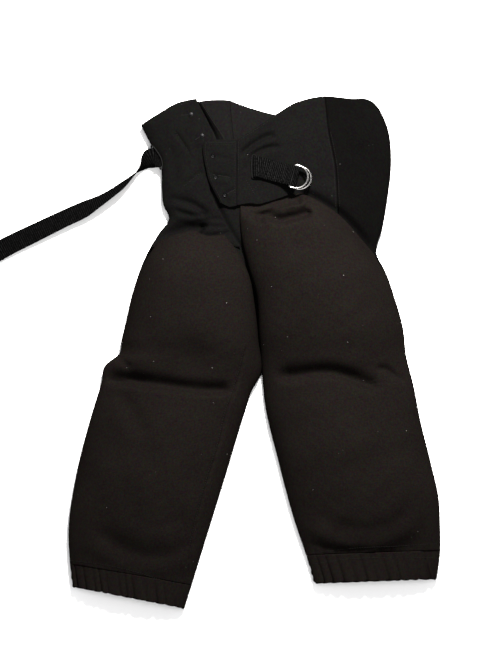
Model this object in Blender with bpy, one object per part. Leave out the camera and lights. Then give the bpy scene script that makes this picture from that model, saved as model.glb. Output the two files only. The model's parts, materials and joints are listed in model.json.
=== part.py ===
"""Youth hockey pants lying on their back, front up: cloth panels, pads, cuffs, fly and D-ring belt.

Blender 4.5. The frame has X across the waist, Y from the cuffs towards the waist, and Z up from the
floor. Left and right in the names are the wearer's, so the right leg is on the -X side. Every size
in this file is in millimetres, and MM turns it into metres where a mesh is made.
"""

import math

import bmesh
import bpy
import numpy as np
from mathutils import Matrix, Vector

MM = 0.001

# Cloth and seams
CLOTH = 2.4
SEAM_HEIGHT = 9.0
SEAM_GAP = 2.8
PANEL_GAP = 1.0

# Crowns of the shells over the floor
WAIST_CROWN = 28.0
CREASE_HEIGHT = 31.0

# Knee folds: the hinge line of each lower leg
RIGHT_KNEE_Y = -31.0
LEFT_KNEE_Y = -26.0
KNEE_AXIS_Z = CREASE_HEIGHT + 0.3

# Part of a back panel's half width that turns up at its edge
BACK_TURN = 0.06

# Pads
PAD_THICKNESS = 8.0
PAD_CLEARANCE = 1.2

# Webbing, rings and slots
WEB_WIDTH = 25.0
WEB_THICKNESS = 1.6
RING_WIRE = 2.7
RING_INNER_WIDTH = 26.0
RING_ARM = 5.0
RING_CORNER = 2.0
SLOT_LENGTH = 27.4
SLOT_WIDTH = 3.4
BINDING_WIRE = 1.8

# Tab: where it leaves its slot, which way it lies, how far its hinge is over its underside, and its
# loop over the two ring bars
TAB_SLOT = (-0.6, 230.5)
TAB_ROOT_X = 3.6
TAB_ANGLE = math.radians(-15.6)
TAB_BASE_GAP = 1.0
TAB_HINGE_RISE = 3.6
LOWER_BAR = (49.5, 3.3)
UPPER_BAR = (45.5, 6.4)
BAR_CLEARANCE = 0.3

# Fly
FLAP_SEAM_X = -22.0
FLAP_LIFT = 4.6
FLAP_THICKNESS = 2.0
FLAP_ENDS = (181.0, 263.0)
# How far the flap reaches from its seam, by t from its lower end (0) to its top (1)
FLAP_REACH = ((0.0, 12.0), (0.12, 30.0), (0.3, 36.0), (0.55, 40.0), (0.8, 42.5), (1.0, 42.0))

# Cuffs: a hem folded round its elastic
CUFF_WALL = 1.6
ELASTIC_THICKNESS = 1.4
ELASTIC_CLEARANCE = 0.3

# Outlines seen from above, as (y, x) pairs from the cuffs to the waist
RIGHT_OUTER = (
    (-293, -226), (-264, -229), (-222, -231), (-160, -223), (-85, -205), (-38, -191),
    (-15, -185), (-3, -170), (15, -166), (41, -160), (83, -150), (125, -134),
    (149, -120), (168, -107),
    (185, -114), (205, -116), (228, -116.5), (241, -118), (262, -130), (287, -143),
)
LEFT_OUTER = (
    (-283, 226), (-247, 231), (-222, 231), (-180, 229), (-143, 221), (-85, 207),
    (-38, 198), (-6, 190), (30, 186), (67, 176), (104, 163), (121, 154),
    (157, 161), (199, 168), (238, 172), (291, 165), (306, 158),
)
RIGHT_INNER = ((-320, -87), (-232, -60), (-148, -34), (-72, -11), (-48, -3), (-32, 6))
LEFT_INNER = ((-289, 74), (-259, 66), (-211, 50), (-133, 29), (-64, 13), (-27, 10))
RIGHT_THIGH_INNER = ((-30, 8), (15, 5), (55, 0.8), (100, -8), (131, -22), (149, -36))
LEFT_THIGH_INNER = ((-25, 9.2), (20, 5.8), (72, 1.8), (100, -6.2), (125, -11), (176, -6), (196, 3))
CENTRE_BACK = (
    (-30, 8.5), (-8, 8), (30, 4), (73, 0), (125, -12), (183, -15), (230, -21), (270, -26), (319, -31),
)
SIDE_SEAM = ((181, 104), (234, 101), (276, 93), (321, 88))
FLY_EDGE = ((157, -37), (200, -35), (235, -41), (266, -50), (318, -73))

# Height of the valley between the thighs, by y
VALLEY = ((-30, 10.5), (-8, 13), (20, 20), (60, 26), (100, 29), (200, 29))

# Leg rows: y at the outer edge, y at the inner edge, crown height, and how far the row arches in +Y
RIGHT_THIGH_ROWS = (
    (-30, -30, CREASE_HEIGHT, 0), (-10, -10, 46, 0), (15, 15, 57, 0), (55, 55, 61, 0),
    (98, 100, 57, 2), (126, 131, 45, 6), (141, 149, 31, 8),
)
LEFT_THIGH_ROWS = (
    (-25, -25, CREASE_HEIGHT, 0), (-6, -8, 45, 0), (22, 20, 57, 0), (64, 72, 62, 4),
    (88, 125, 58, 14), (108, 176, 46, 26), (121, 196, 31, 31),
)
RIGHT_SHIN_ROWS = (
    (-263, -289, 27, 0), (-230, -248, 37, 0), (-180, -192, 46, 0), (-125, -135, 49, 0),
    (-75, -80, 47, 0), (-50, -52, 41, 0), (-32, -32, CREASE_HEIGHT, 0),
)
LEFT_SHIN_ROWS = (
    (-246, -252, 28, 0), (-222, -228, 38, 0), (-185, -190, 46, 0), (-137, -133, 51, 0),
    (-85, -80, 49, 0), (-45, -50, 42, 0), (-27, -27, CREASE_HEIGHT, 0),
)
RIGHT_CUFF = ((-264.5, -290.5), (-292, -319))
LEFT_CUFF = ((-247.5, -253.5), (-282.5, -288))
CUFF_CROWN = (27.0, 24.0)

# Belt tail: its centre line from the slot to the free end, with the turn of its flat side in degrees
TAIL_ROUTE = (
    (-117.0, 245.0, 12.6, 0), (-122.0, 245.0, 12.6, 0), (-127.0, 244.8, 12.6, 0), (-135.0, 240.0, 13.4, 46),
    (-142.0, 231.5, 14.0, 84), (-148.0, 226.0, 14.2, 96), (-156.0, 218.5, 13.4, 106),
    (-167.0, 209.0, 12.2, 116), (-180.0, 199.5, 11.6, 121), (-195.0, 190.0, 10.4, 130),
    (-214.0, 180.0, 7.2, 150), (-240.0, 168.0, 6.2, 155), (-270.0, 153.5, 5.0, 161),
    (-318.0, 129.5, 3.2, 170), (-345.0, 113.0, 1.8, 176), (-372.0, 90.0, 1.1, 180),
    (-398.0, 56.0, 1.1, 180), (-408.0, 30.0, 1.1, 180),
)
TAIL_STEPS = 60
TAIL_COLUMNS = 4

COLOURS = {
    "knit": ((0.012, 0.011, 0.011), 0.85, 0.0),
    "webbing": ((0.016, 0.016, 0.017), 0.6, 0.0),
    "elastic": ((0.03, 0.03, 0.03), 0.8, 0.0),
    "foam": ((0.35, 0.35, 0.36), 0.9, 0.0),
    "chrome": ((0.75, 0.75, 0.76), 0.15, 1.0),
    "snap_metal": ((0.45, 0.45, 0.46), 0.25, 1.0),
}


def clear_scene():
    for obj in list(bpy.data.objects):
        bpy.data.objects.remove(obj, do_unlink=True)


def make_materials():
    made = {}
    for name, (colour, roughness, metallic) in COLOURS.items():
        material = bpy.data.materials.new(name)
        material.use_nodes = True
        shader = material.node_tree.nodes["Principled BSDF"]
        shader.inputs["Base Color"].default_value = (*colour, 1.0)
        shader.inputs["Roughness"].default_value = roughness
        shader.inputs["Metallic"].default_value = metallic
        made[name] = material
    return made


def smooth_curve(pairs):
    """A smooth function through (knot, value) pairs, held level beyond its ends."""
    knots = np.array([pair[0] for pair in pairs], float)
    values = np.array([pair[1:] for pair in pairs], float)
    slopes = np.gradient(values, knots, axis=0)

    def at(where):
        where = min(max(where, knots[0]), knots[-1])
        i = min(int(np.searchsorted(knots, where, side="right")) - 1, len(knots) - 2)
        span = knots[i + 1] - knots[i]
        t = (where - knots[i]) / span
        rise = t * t * (3 - 2 * t)
        found = values[i] * (1 - rise) + values[i + 1] * rise
        found = found + slopes[i] * span * t * (1 - t) ** 2 - slopes[i + 1] * span * t * t * (1 - t)
        return found if len(found) > 1 else float(found[0])

    return at


right_outer = smooth_curve(RIGHT_OUTER)
left_outer = smooth_curve(LEFT_OUTER)
right_inner = smooth_curve(RIGHT_INNER)
left_inner = smooth_curve(LEFT_INNER)
right_thigh_inner = smooth_curve(RIGHT_THIGH_INNER)
left_thigh_inner = smooth_curve(LEFT_THIGH_INNER)
centre_back = smooth_curve(CENTRE_BACK)
side_seam = smooth_curve(SIDE_SEAM)
fly_edge = smooth_curve(FLY_EDGE)
valley = smooth_curve(VALLEY)


def crown_shape(u):
    """Height of a leg's cross-section from 1 at its middle to 0 at its edges, u from -1 to 1."""
    return (1 - abs(u) ** 2.4) ** 0.55


def waist_height(x, y):
    """The waist's front surface: nearly level, rounding down to the side seams."""
    low, high = right_outer(y), left_outer(y)
    u = (2 * x - low - high) / (high - low)
    edge = SEAM_HEIGHT + SEAM_GAP / 2
    return edge + (WAIST_CROWN - edge) * math.sqrt(max(0.0, 1 - u**4))


def fly_lift(x):
    """How far the left hip front and the flap lie over the right hip front."""
    t = min(max((70 - x) / 80, 0.0), 1.0)
    return FLAP_LIFT * t * t * (3 - 2 * t)


def lapped_height(x, y):
    return waist_height(x, y) + fly_lift(x)


def edge_spaced(count):
    """Numbers from -1 to 1, closer together towards both ends."""
    return [math.sin(math.radians(90) * (2 * i / count - 1)) for i in range(count + 1)]


def even(count):
    return [i / count for i in range(count + 1)]


def add_mesh(name, points, faces, material, pivot=None):
    """One object. Its origin is its joint's empty, or else the middle of its own footprint."""
    points = np.array(points, float)
    if pivot is None:
        low, high = points.min(axis=0), points.max(axis=0)
        origin = np.array([(low[0] + high[0]) / 2, (low[1] + high[1]) / 2, low[2]])
    else:
        origin = np.array(pivot.location) / MM
    mesh = bpy.data.meshes.new(name)
    mesh.from_pydata([tuple(p) for p in (points - origin) * MM], [], faces)
    mesh.materials.append(material)
    obj = bpy.data.objects.new(name, mesh)
    bpy.context.scene.collection.objects.link(obj)
    if pivot is None:
        obj.location = Vector(origin * MM)
    else:
        obj.parent = pivot
    return obj


def outward(obj):
    """Turns the faces of a closed mesh outwards and shades its round parts smooth."""
    shape = bmesh.new()
    shape.from_mesh(obj.data)
    bmesh.ops.recalc_face_normals(shape, faces=shape.faces)
    shape.to_mesh(obj.data)
    shape.free()
    obj.data.shade_smooth()
    obj.data.set_sharp_from_angle(angle=math.radians(35))
    return obj


def sheet(name, rows, thickness, material, faces_up=True, pivot=None):
    """A cloth panel: a grid of points on its outer side, thickened inwards."""
    columns = len(rows[0])
    points = [point for row in rows for point in row]
    faces = []
    for i in range(len(rows) - 1):
        for j in range(columns - 1):
            a = i * columns + j
            face = (a, a + 1, a + columns + 1, a + columns)
            faces.append(face if faces_up else face[::-1])
    obj = add_mesh(name, points, faces, material, pivot)
    obj.data.shade_smooth()
    solidify = obj.modifiers.new("thickness", "SOLIDIFY")
    solidify.thickness = thickness * MM
    solidify.offset = -1
    return obj


def ring_solid(name, sections, material, pivot=None, closed=True):
    """A solid swept through closed sections, either round into a ring or capped at both ends."""
    count = len(sections[0])
    points = [point for section in sections for point in section]
    faces = []
    last = len(sections) if closed else len(sections) - 1
    for i in range(last):
        for j in range(count):
            a, b = i * count, (i + 1) % len(sections) * count
            k = (j + 1) % count
            faces.append((a + j, a + k, b + k, b + j))
    if not closed:
        faces.append(tuple(range(count)))
        faces.append(tuple(range(len(points) - count, len(points))))
    return outward(add_mesh(name, points, faces, material, pivot))


def turned(name, profile, centre, material, pivot=None, sides=16):
    """A small turned solid from (radius, height) points that start and end on its axis."""
    x, y, z = centre
    points = [(x, y, z + profile[0][1])]
    for radius, height in profile[1:-1]:
        for k in range(sides):
            angle = 2 * math.pi * k / sides
            points.append((x + radius * math.cos(angle), y + radius * math.sin(angle), z + height))
    points.append((x, y, z + profile[-1][1]))
    rings = len(profile) - 2
    end = len(points) - 1
    faces = []
    for k in range(sides):
        m = (k + 1) % sides
        faces.append((0, 1 + m, 1 + k))
        for ring in range(rings - 1):
            a = 1 + ring * sides
            faces.append((a + k, a + m, a + sides + m, a + sides + k))
        a = 1 + (rings - 1) * sides
        faces.append((a + k, a + m, end))
    return outward(add_mesh(name, points, faces, material, pivot))


def wire_loop(name, points, wire, material, pivot=None):
    """A closed loop of round wire."""
    curve = bpy.data.curves.new(name, "CURVE")
    curve.dimensions = "3D"
    curve.bevel_depth = wire / 2 * MM
    curve.bevel_resolution = 2
    origin = Vector((0, 0, 0)) if pivot is None else pivot.location
    spline = curve.splines.new("POLY")
    spline.points.add(len(points) - 1)
    for slot, point in zip(spline.points, points):
        slot.co = (*(Vector(point) * MM - origin), 1)
    spline.use_cyclic_u = True
    curve.materials.append(material)
    obj = bpy.data.objects.new(name, curve)
    bpy.context.scene.collection.objects.link(obj)
    obj.parent = pivot
    return obj


def cut(obj, name, centre, size):
    """Cuts a box through a panel. The cutter stays as a hidden helper."""
    bpy.ops.mesh.primitive_cube_add(size=1, location=Vector(centre) * MM)
    cutter = bpy.context.object
    cutter.name = name
    cutter.data.transform(Matrix.Diagonal((*(side * MM for side in size), 1)))
    cutter.hide_render = True
    cutter.display_type = "WIRE"
    boolean = obj.modifiers.new("slot", "BOOLEAN")
    boolean.operation = "DIFFERENCE"
    boolean.object = cutter


def make_pivot(name, place):
    pivot = bpy.data.objects.new(name, None)
    pivot.location = Vector(place) * MM
    pivot.empty_display_size = 0.02
    bpy.context.scene.collection.objects.link(pivot)
    return pivot


class Leg:
    """One stretch of a leg: its rows, and which side is its outer edge."""

    def __init__(self, rows, outer, inner, outer_on_left, has_valley):
        self.rows = smooth_curve([(k, *row) for k, row in enumerate(rows)])
        self.last = len(rows) - 1
        self.outer = outer
        self.inner = inner
        self.outer_on_left = outer_on_left
        self.has_valley = has_valley

    def point(self, u, v):
        """A point of the front surface, u from -1 at the left to 1, v from 0 at the lower end to 1."""
        y_outer, y_inner, crown, arch = self.rows(v * self.last)
        x_outer, x_inner = self.outer(y_outer), self.inner(y_inner)
        toward_inner = (u + 1) / 2 if self.outer_on_left else (1 - u) / 2
        x = x_outer + (x_inner - x_outer) * toward_inner
        y = y_outer + (y_inner - y_outer) * toward_inner + arch * (1 - u * u)
        edge = SEAM_HEIGHT + SEAM_GAP / 2
        if self.has_valley and toward_inner > 0.5:
            edge = max(edge, valley(y_inner))
        return np.array([x, y, edge + (crown - edge) * crown_shape(u)])

    def normal(self, u, v):
        step = 0.01
        across = self.point(min(u + step, 0.99), v) - self.point(max(u - step, -0.99), v)
        along = self.point(u, min(v + step, 1)) - self.point(u, max(v - step, 0))
        n = np.cross(across, along)
        return n / np.linalg.norm(n)


def front_panel(name, leg, material, pivot=None, columns=12, rows=9):
    grid = [[leg.point(u, v) for u in edge_spaced(columns)] for v in even(rows)]
    return sheet(name, grid, CLOTH, material, pivot=pivot)


def pad(name, leg, span, v_range, material, pivot=None, columns=8, rows=6):
    """A foam sheet that lies under a front panel, inside its edges."""
    depth = CLOTH + PAD_CLEARANCE
    grid = []
    for t in even(rows):
        v = v_range[0] + (v_range[1] - v_range[0]) * t
        across = [span * (2 * s - 1) for s in even(columns)]
        grid.append([leg.point(u, v) - depth * leg.normal(u, v) for u in across])
    return sheet(name, grid, PAD_THICKNESS, material, pivot=pivot)


def back_row(left, right, left_up, right_up, columns, arch=0.0):
    """A row of a back panel: flat on the floor, its edges turned up to the side seams."""
    row = []
    for u in edge_spaced(columns):
        t = (u + 1) / 2
        turn = max(0.0, (abs(u) - 1 + BACK_TURN) / BACK_TURN)
        height = (left_up if u < 0 else right_up) * turn * turn
        row.append((
            left[0] + (right[0] - left[0]) * t,
            left[1] + (right[1] - left[1]) * t + arch * (1 - u * u),
            height,
        ))
    return row


def back_panel(name, rows, material, pivot=None):
    return sheet(name, rows, CLOTH, material, faces_up=False, pivot=pivot)


def seat_panel(name, side, knee_y, tops, material):
    """A back panel from the knee to the waist; side is -1 for the right one."""
    seam = SEAM_HEIGHT - SEAM_GAP / 2
    outer = right_outer if side < 0 else left_outer
    outer_top, inner_top, arch_top = tops
    rows = []
    for t in even(15):
        y_outer = knee_y + PANEL_GAP + (outer_top - knee_y - PANEL_GAP) * t
        y_inner = knee_y + PANEL_GAP + (inner_top - knee_y - PANEL_GAP) * t
        arch = arch_top * t**6
        edge = (outer(y_outer), y_outer)
        middle = (centre_back(y_inner) + side * PANEL_GAP / 2, y_inner)
        if side < 0:
            rows.append(back_row(edge, middle, seam, 0, 12, arch))
        else:
            rows.append(back_row(middle, edge, 0, seam, 12, arch))
    return back_panel(name, rows, material)


def shin_back(name, leg_rows, outer, inner, outer_on_left, material, pivot):
    seam = SEAM_HEIGHT - SEAM_GAP / 2
    at = smooth_curve([(k, row[0], row[1]) for k, row in enumerate(leg_rows)])
    rows = []
    for t in even(8):
        y_outer, y_inner = at(t * (len(leg_rows) - 1))
        edges = [(outer(y_outer), y_outer), (inner(y_inner), y_inner)]
        if not outer_on_left:
            edges.reverse()
        rows.append(back_row(*edges, seam, seam, 12))
    return back_panel(name, rows, material, pivot)


def patch(left, right, arch_low, arch_high, columns, rows, height):
    """A front piece of the waist between two edges that are functions of t from 0 to 1."""
    grid = []
    for t in even(rows):
        a, b = left(t), right(t)
        arch = arch_low * (1 - t) ** 3 + arch_high * t**3
        row = []
        for s in columns:
            x = a[0] + (b[0] - a[0]) * s
            y = a[1] + (b[1] - a[1]) * s + arch * 4 * s * (1 - s)
            row.append((x, y, height(x, y)))
        grid.append(row)
    return grid


def along(curve, low, high, shift=0.0):
    """The edge that follows a curve from one y to another, as a function of t."""
    return lambda t: (curve(low + (high - low) * t) + shift, low + (high - low) * t)


def make_waist(materials):
    knit = materials["knit"]
    outer_dense = [1 - math.cos(math.radians(90) * s) for s in even(9)]
    right_front = sheet(
        "right_hip_front",
        patch(along(right_outer, 146, 287), along(fly_edge, 157, 318), 6, 5, outer_dense, 10, waist_height),
        CLOTH,
        knit,
    )
    cut(right_front, "tail_slot_cutter", (-119, *TAIL_ROUTE[0][1:3]), (24, SLOT_LENGTH, SLOT_WIDTH))
    left_front = sheet(
        "left_hip_front",
        patch(
            lambda t: (FLAP_SEAM_X + PANEL_GAP / 2, 186 + (263 - 186) * t),
            along(side_seam, 182, 321, -PANEL_GAP / 2),
            24,
            9,
            even(10),
            9,
            lapped_height,
        ),
        CLOTH,
        knit,
    )
    cut(left_front, "tab_slot_cutter", (*TAB_SLOT, 30), (SLOT_WIDTH, SLOT_LENGTH, 20))
    sheet(
        "left_hip_side",
        patch(
            along(side_seam, 180, 321, PANEL_GAP / 2),
            along(left_outer, 126, 306),
            10,
            4,
            [math.sin(math.radians(90) * s) for s in even(7)],
            10,
            lapped_height,
        ),
        CLOTH,
        knit,
    )
    sheet(
        "front_crotch_panel",
        patch(
            lambda t: (-20.0 - 13.5 * t, 134 + 44 * t),
            lambda t: (-12.6 + 5.4 * t, 132 + 48 * t),
            0,
            0,
            even(3),
            4,
            lambda x, y: 29.0,
        ),
        CLOTH,
        knit,
    )
    placket_drop = CLOTH + 1.0
    sheet(
        "placket_facing",
        patch(
            lambda t: (fly_edge(196 + 118 * t) - 9, 196 + 118 * t),
            lambda t: (fly_edge(190 + 118 * t) + 15, 190 + 118 * t),
            0,
            0,
            even(3),
            8,
            lambda x, y: waist_height(x, y) - placket_drop,
        ),
        CUFF_WALL,
        knit,
    )
    seat_panel("right_seat_back", -1, RIGHT_KNEE_Y, (286, 319.5, 11), knit)
    seat_panel("left_seat_back", 1, LEFT_KNEE_Y, (305, 319.5, -17), knit)


def make_belt(materials):
    """The belt in its casing: under the left front, round the left side and along the back."""
    webbing = materials["webbing"]
    inset = CLOTH + 1.4
    floor_level = CLOTH + 0.6
    start_x, bend_x, flat_x = TAB_SLOT[0] + 4, 139.0, -94.0
    rise_to_slot = ((-101, 4.0), (-107, 7.4), (-112, 11.0))
    slot_shift = TAIL_ROUTE[0][1] - TAB_SLOT[1]
    rows = []
    for across in (-WEB_WIDTH / 2, 0, WEB_WIDTH / 2):
        y = TAB_SLOT[1] + across
        row = []
        for x in np.linspace(start_x, bend_x - 12, 12):
            row.append((x, y, waist_height(x, y) - inset))
        radius = (row[-1][2] - 1.0 - floor_level) / 2
        for k in range(9):
            angle = math.radians(90 - 22.5 * k)
            x = bend_x + 1.2 * radius * math.cos(angle)
            row.append((x, y, floor_level + radius + radius * math.sin(angle)))
        for t in even(9)[1:]:
            row.append((bend_x + (flat_x - bend_x) * t, y + slot_shift * t, floor_level))
        for x, z in rise_to_slot:
            row.append((x, y + slot_shift, z))
        rows.append(row)
    sheet("inner_belt", rows, WEB_THICKNESS, webbing)
    casing_top = floor_level + WEB_THICKNESS + 0.6 + CUFF_WALL
    casing = [[(x, y, casing_top) for x in np.linspace(-86, 128, 3)] for y in (218, 256)]
    sheet("belt_casing", casing, CUFF_WALL, materials["knit"])


def smooth_route(route, steps):
    """Evenly spread points, with the flat side's turn, on a smooth curve through a route's own points."""
    places = np.array([point[:3] for point in route], float)
    lengths = np.concatenate([[0.0], np.cumsum(np.linalg.norm(np.diff(places, axis=0), axis=1))])
    at = smooth_curve([(length, *point) for length, point in zip(lengths, route)])
    return [at(lengths[-1] * k / steps) for k in range(steps + 1)]


def make_tail(materials):
    """The free strap: a flat band whose wide side turns once on its way to the floor."""
    route = smooth_route(TAIL_ROUTE, TAIL_STEPS)
    sections = []
    for k, (x, y, z, turn) in enumerate(route):
        ahead = route[min(k + 1, len(route) - 1)][:3] - route[max(k - 1, 0)][:3]
        ahead = Vector(ahead).normalized()
        side = ahead.cross(Vector((0, 0, 1))).normalized()
        if k == 0:
            side = Vector((0, 1, 0))
        up = side.cross(ahead).normalized()
        angle = math.radians(turn)
        wide = side * math.cos(angle) + up * math.sin(angle)
        thin = ahead.cross(wide).normalized()
        centre = Vector((x, y, z))
        half_width, half_thick = wide * (WEB_WIDTH / 2), thin * (WEB_THICKNESS / 2)
        upper = [centre + (1 - 2 * s) * half_width + half_thick for s in even(TAIL_COLUMNS)]
        lower = [point - 2 * half_thick for point in reversed(upper)]
        sections.append(upper + lower)
    ring_solid("belt_tail", sections, materials["webbing"], closed=False)


def make_slot_bindings(materials):
    knit = materials["knit"]
    half_long, half_wide = SLOT_LENGTH / 2 + 1.0, SLOT_WIDTH / 2 + 1.0
    tail_y, tail_z = TAIL_ROUTE[0][1:3]
    loop = []
    for k in range(16):
        angle = 2 * math.pi * k / 16
        across, length = math.cos(angle), math.sin(angle)
        x = TAB_SLOT[0] + half_wide * across
        y = TAB_SLOT[1] + (half_long - half_wide) * max(-1, min(1, 1.6 * length)) + half_wide * length
        loop.append((x, y, waist_height(x, y) + fly_lift(x) + BINDING_WIRE / 2 + 0.4))
    wire_loop("tab_slot_binding", loop, BINDING_WIRE, knit)
    loop = []
    edge = SEAM_HEIGHT + SEAM_GAP / 2
    for k in range(16):
        angle = 2 * math.pi * k / 16
        across, length = math.cos(angle), math.sin(angle)
        z = tail_z + half_wide * across
        y = tail_y + (half_long - half_wide) * max(-1, min(1, 1.6 * length)) + half_wide * length
        rise = min(max((z - edge) / (WAIST_CROWN - edge), 0.0), 1.0)
        u = (1 - rise * rise) ** 0.25
        middle = (left_outer(y) + right_outer(y)) / 2
        loop.append((middle - u * (middle - right_outer(y)) - BINDING_WIRE / 2 - 1.2, y, z))
    wire_loop("tail_slot_binding", loop, BINDING_WIRE, knit)


def make_fly(materials, pivot):
    knit = materials["knit"]
    low, high = FLAP_ENDS
    reach_at = smooth_curve(FLAP_REACH)
    rows = []
    for t in even(12):
        y = low + (high - low) * t
        reach = reach_at(t)
        row = []
        for s in even(6):
            x = FLAP_SEAM_X - PANEL_GAP / 2 - reach * (1 - s)
            row.append((x, y, waist_height(x, y) + FLAP_LIFT))
        rows.append(row)
    sheet("fly_flap", rows, FLAP_THICKNESS, knit, pivot=pivot)
    cap = ((0, 0), (2.9, 0), (3.0, 0.5), (2.5, 1.0), (1.4, 1.3), (0, 1.4))
    places = {"top": (-51.7, 244), "middle": (-47.9, 217.5), "bottom": (-36.5, 195)}
    for place, (x, y) in places.items():
        centre = (x, y, waist_height(x, y) + FLAP_LIFT + 0.35)
        turned(f"snap_cap_{place}", cap, centre, materials["snap_metal"], pivot)


def make_studs(materials):
    stud = ((0, 0), (2.8, 0), (2.8, 0.5), (1.3, 0.7), (1.5, 1.3), (0, 1.4))
    places = {"top": (-79.5, 297), "middle": (-65.6, 270), "bottom": (-56.0, 243)}
    for place, (x, y) in places.items():
        turned(f"snap_stud_{place}", stud, (x, y, waist_height(x, y) + 0.35), materials["snap_metal"])


def tab_path():
    """Centre line of the doubled webbing, seen from its side: along, round both bars, and back."""
    reach = RING_WIRE / 2 + BAR_CLEARANCE + WEB_THICKNESS / 2
    low_x, low_z = LOWER_BAR
    up_x, up_z = UPPER_BAR
    lean = math.atan2(low_x - up_x, up_z - low_z)
    base = WEB_THICKNESS / 2
    path = [(0.0, base), (16.0, base), (32.0, base), (44.0, base)]
    for k in range(7):
        angle = -math.pi / 2 + (math.pi / 2 + math.pi / 2 - lean) * k / 6
        path.append((low_x + reach * math.cos(angle), low_z + reach * math.sin(angle)))
    for k in range(4):
        angle = math.pi / 2 - lean + (math.radians(118) - math.pi / 2 + lean) * k / 3
        path.append((up_x + reach * math.cos(angle), up_z + reach * math.sin(angle)))
    second = base + WEB_THICKNESS + 0.35
    path += [(36.6, second + 1.0), (33.0, second + 0.15), (28.0, second), (14.0, second), (0.0, second)]
    return path


def make_tab(materials, tab_pivot, upper_pivot, lower_pivot, base_z):
    heading = np.array([math.cos(TAB_ANGLE), math.sin(TAB_ANGLE), 0.0])
    side = np.array([-math.sin(TAB_ANGLE), math.cos(TAB_ANGLE), 0.0])
    root = np.array([TAB_ROOT_X, TAB_SLOT[1], base_z])

    def place(along_tab, across, height):
        return root + heading * along_tab + side * across + np.array([0, 0, height])

    rows = []
    for across in (WEB_WIDTH / 2, 0.0, -WEB_WIDTH / 2):
        row = []
        for along_tab, height in tab_path():
            if along_tab == 0.0:
                along_tab = across * math.tan(TAB_ANGLE)
            row.append(place(along_tab, across, height))
        rows.append(row)
    obj = sheet("belt_tab", rows, WEB_THICKNESS, materials["webbing"], pivot=tab_pivot)
    obj.modifiers["thickness"].offset = 0

    half = RING_INNER_WIDTH / 2 + RING_WIRE / 2
    outline = []
    for sign in (-1, 1):
        centre = (RING_CORNER, sign * (half - RING_CORNER))
        for k in range(4):
            angle = math.radians((180 if sign < 0 else 90) + 30 * k)
            x = centre[0] + RING_CORNER * math.cos(angle)
            outline.append((x, centre[1] + RING_CORNER * math.sin(angle)))
        if sign < 0:
            for k in range(13):
                angle = math.radians(-90 + 180 * k / 12)
                outline.append((RING_ARM + half * math.cos(angle), half * math.sin(angle)))
    rings = (("upper_d_ring", UPPER_BAR, upper_pivot), ("lower_d_ring", LOWER_BAR, lower_pivot))
    for name, bar, pivot in rings:
        points = [place(bar[0] + along_ring, across, bar[1]) for along_ring, across in outline]
        wire_loop(name, points, RING_WIRE, materials["chrome"], pivot)


def stadium(left, right, height, inset, columns):
    """A flat-bottomed oval round the leg at one row, moved inwards by inset."""
    left, right = np.array(left, float), np.array(right, float)
    across = (right - left) / np.linalg.norm(right - left)
    radius = height / 2
    flat = columns // 2 - 5
    points = []
    for end, sign in ((right, 1), (left, -1)):
        centre = end - sign * across * radius
        for k in range(6):
            angle = math.radians(-90 + 36 * k)
            reach = (radius - inset) * math.cos(angle)
            rise = (radius - inset) * math.sin(angle) * sign
            place = centre + sign * across * reach
            points.append((place[0], place[1], radius + rise))
        other = (left if sign > 0 else right) + sign * across * radius
        for k in range(1, flat):
            place = centre + (other - centre) * k / flat
            points.append((place[0], place[1], radius + sign * (radius - inset)))
    return points


def cuff_ring(name, edges, profile, outer, inner, outer_on_left, material, pivot):
    """A ring whose profile is given as (inset, t), t from 0 at the leg to 1 at the hem's edge."""
    columns = 30
    loops = []
    for inset, t in profile:
        ends = []
        for k, curve in ((0, outer), (1, inner)):
            y = edges[0][k] + (edges[1][k] - edges[0][k]) * t
            ends.append((curve(y), y))
        if not outer_on_left:
            ends.reverse()
        height = CUFF_CROWN[0] + (CUFF_CROWN[1] - CUFF_CROWN[0]) * t
        loops.append(stadium(*ends, height, inset, columns))
    sections = [[loop[k] for loop in loops] for k in range(len(loops[0]))]
    return ring_solid(name, sections, material, pivot)


def make_cuff(side, edges, outer, inner, outer_on_left, materials, pivot):
    slot = ELASTIC_THICKNESS + 2 * ELASTIC_CLEARANCE
    wall, depth = CUFF_WALL, 2 * CUFF_WALL + slot
    floor_t = 0.93
    outer_side = ((0, 0), (0, 1), (depth, 1), (depth, 0))
    slot_side = ((wall + slot, 0), (wall + slot, floor_t), (wall, floor_t), (wall, 0))
    hem = outer_side + slot_side
    cuff_ring(f"{side}_cuff", edges, hem, outer, inner, outer_on_left, materials["knit"], pivot)
    inside, outside = wall + ELASTIC_CLEARANCE, wall + ELASTIC_CLEARANCE + ELASTIC_THICKNESS
    band = ((inside, 0.05), (inside, 0.9), (outside, 0.9), (outside, 0.05))
    cuff_ring(f"{side}_cuff_elastic", edges, band, outer, inner, outer_on_left, materials["elastic"], pivot)


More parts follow.
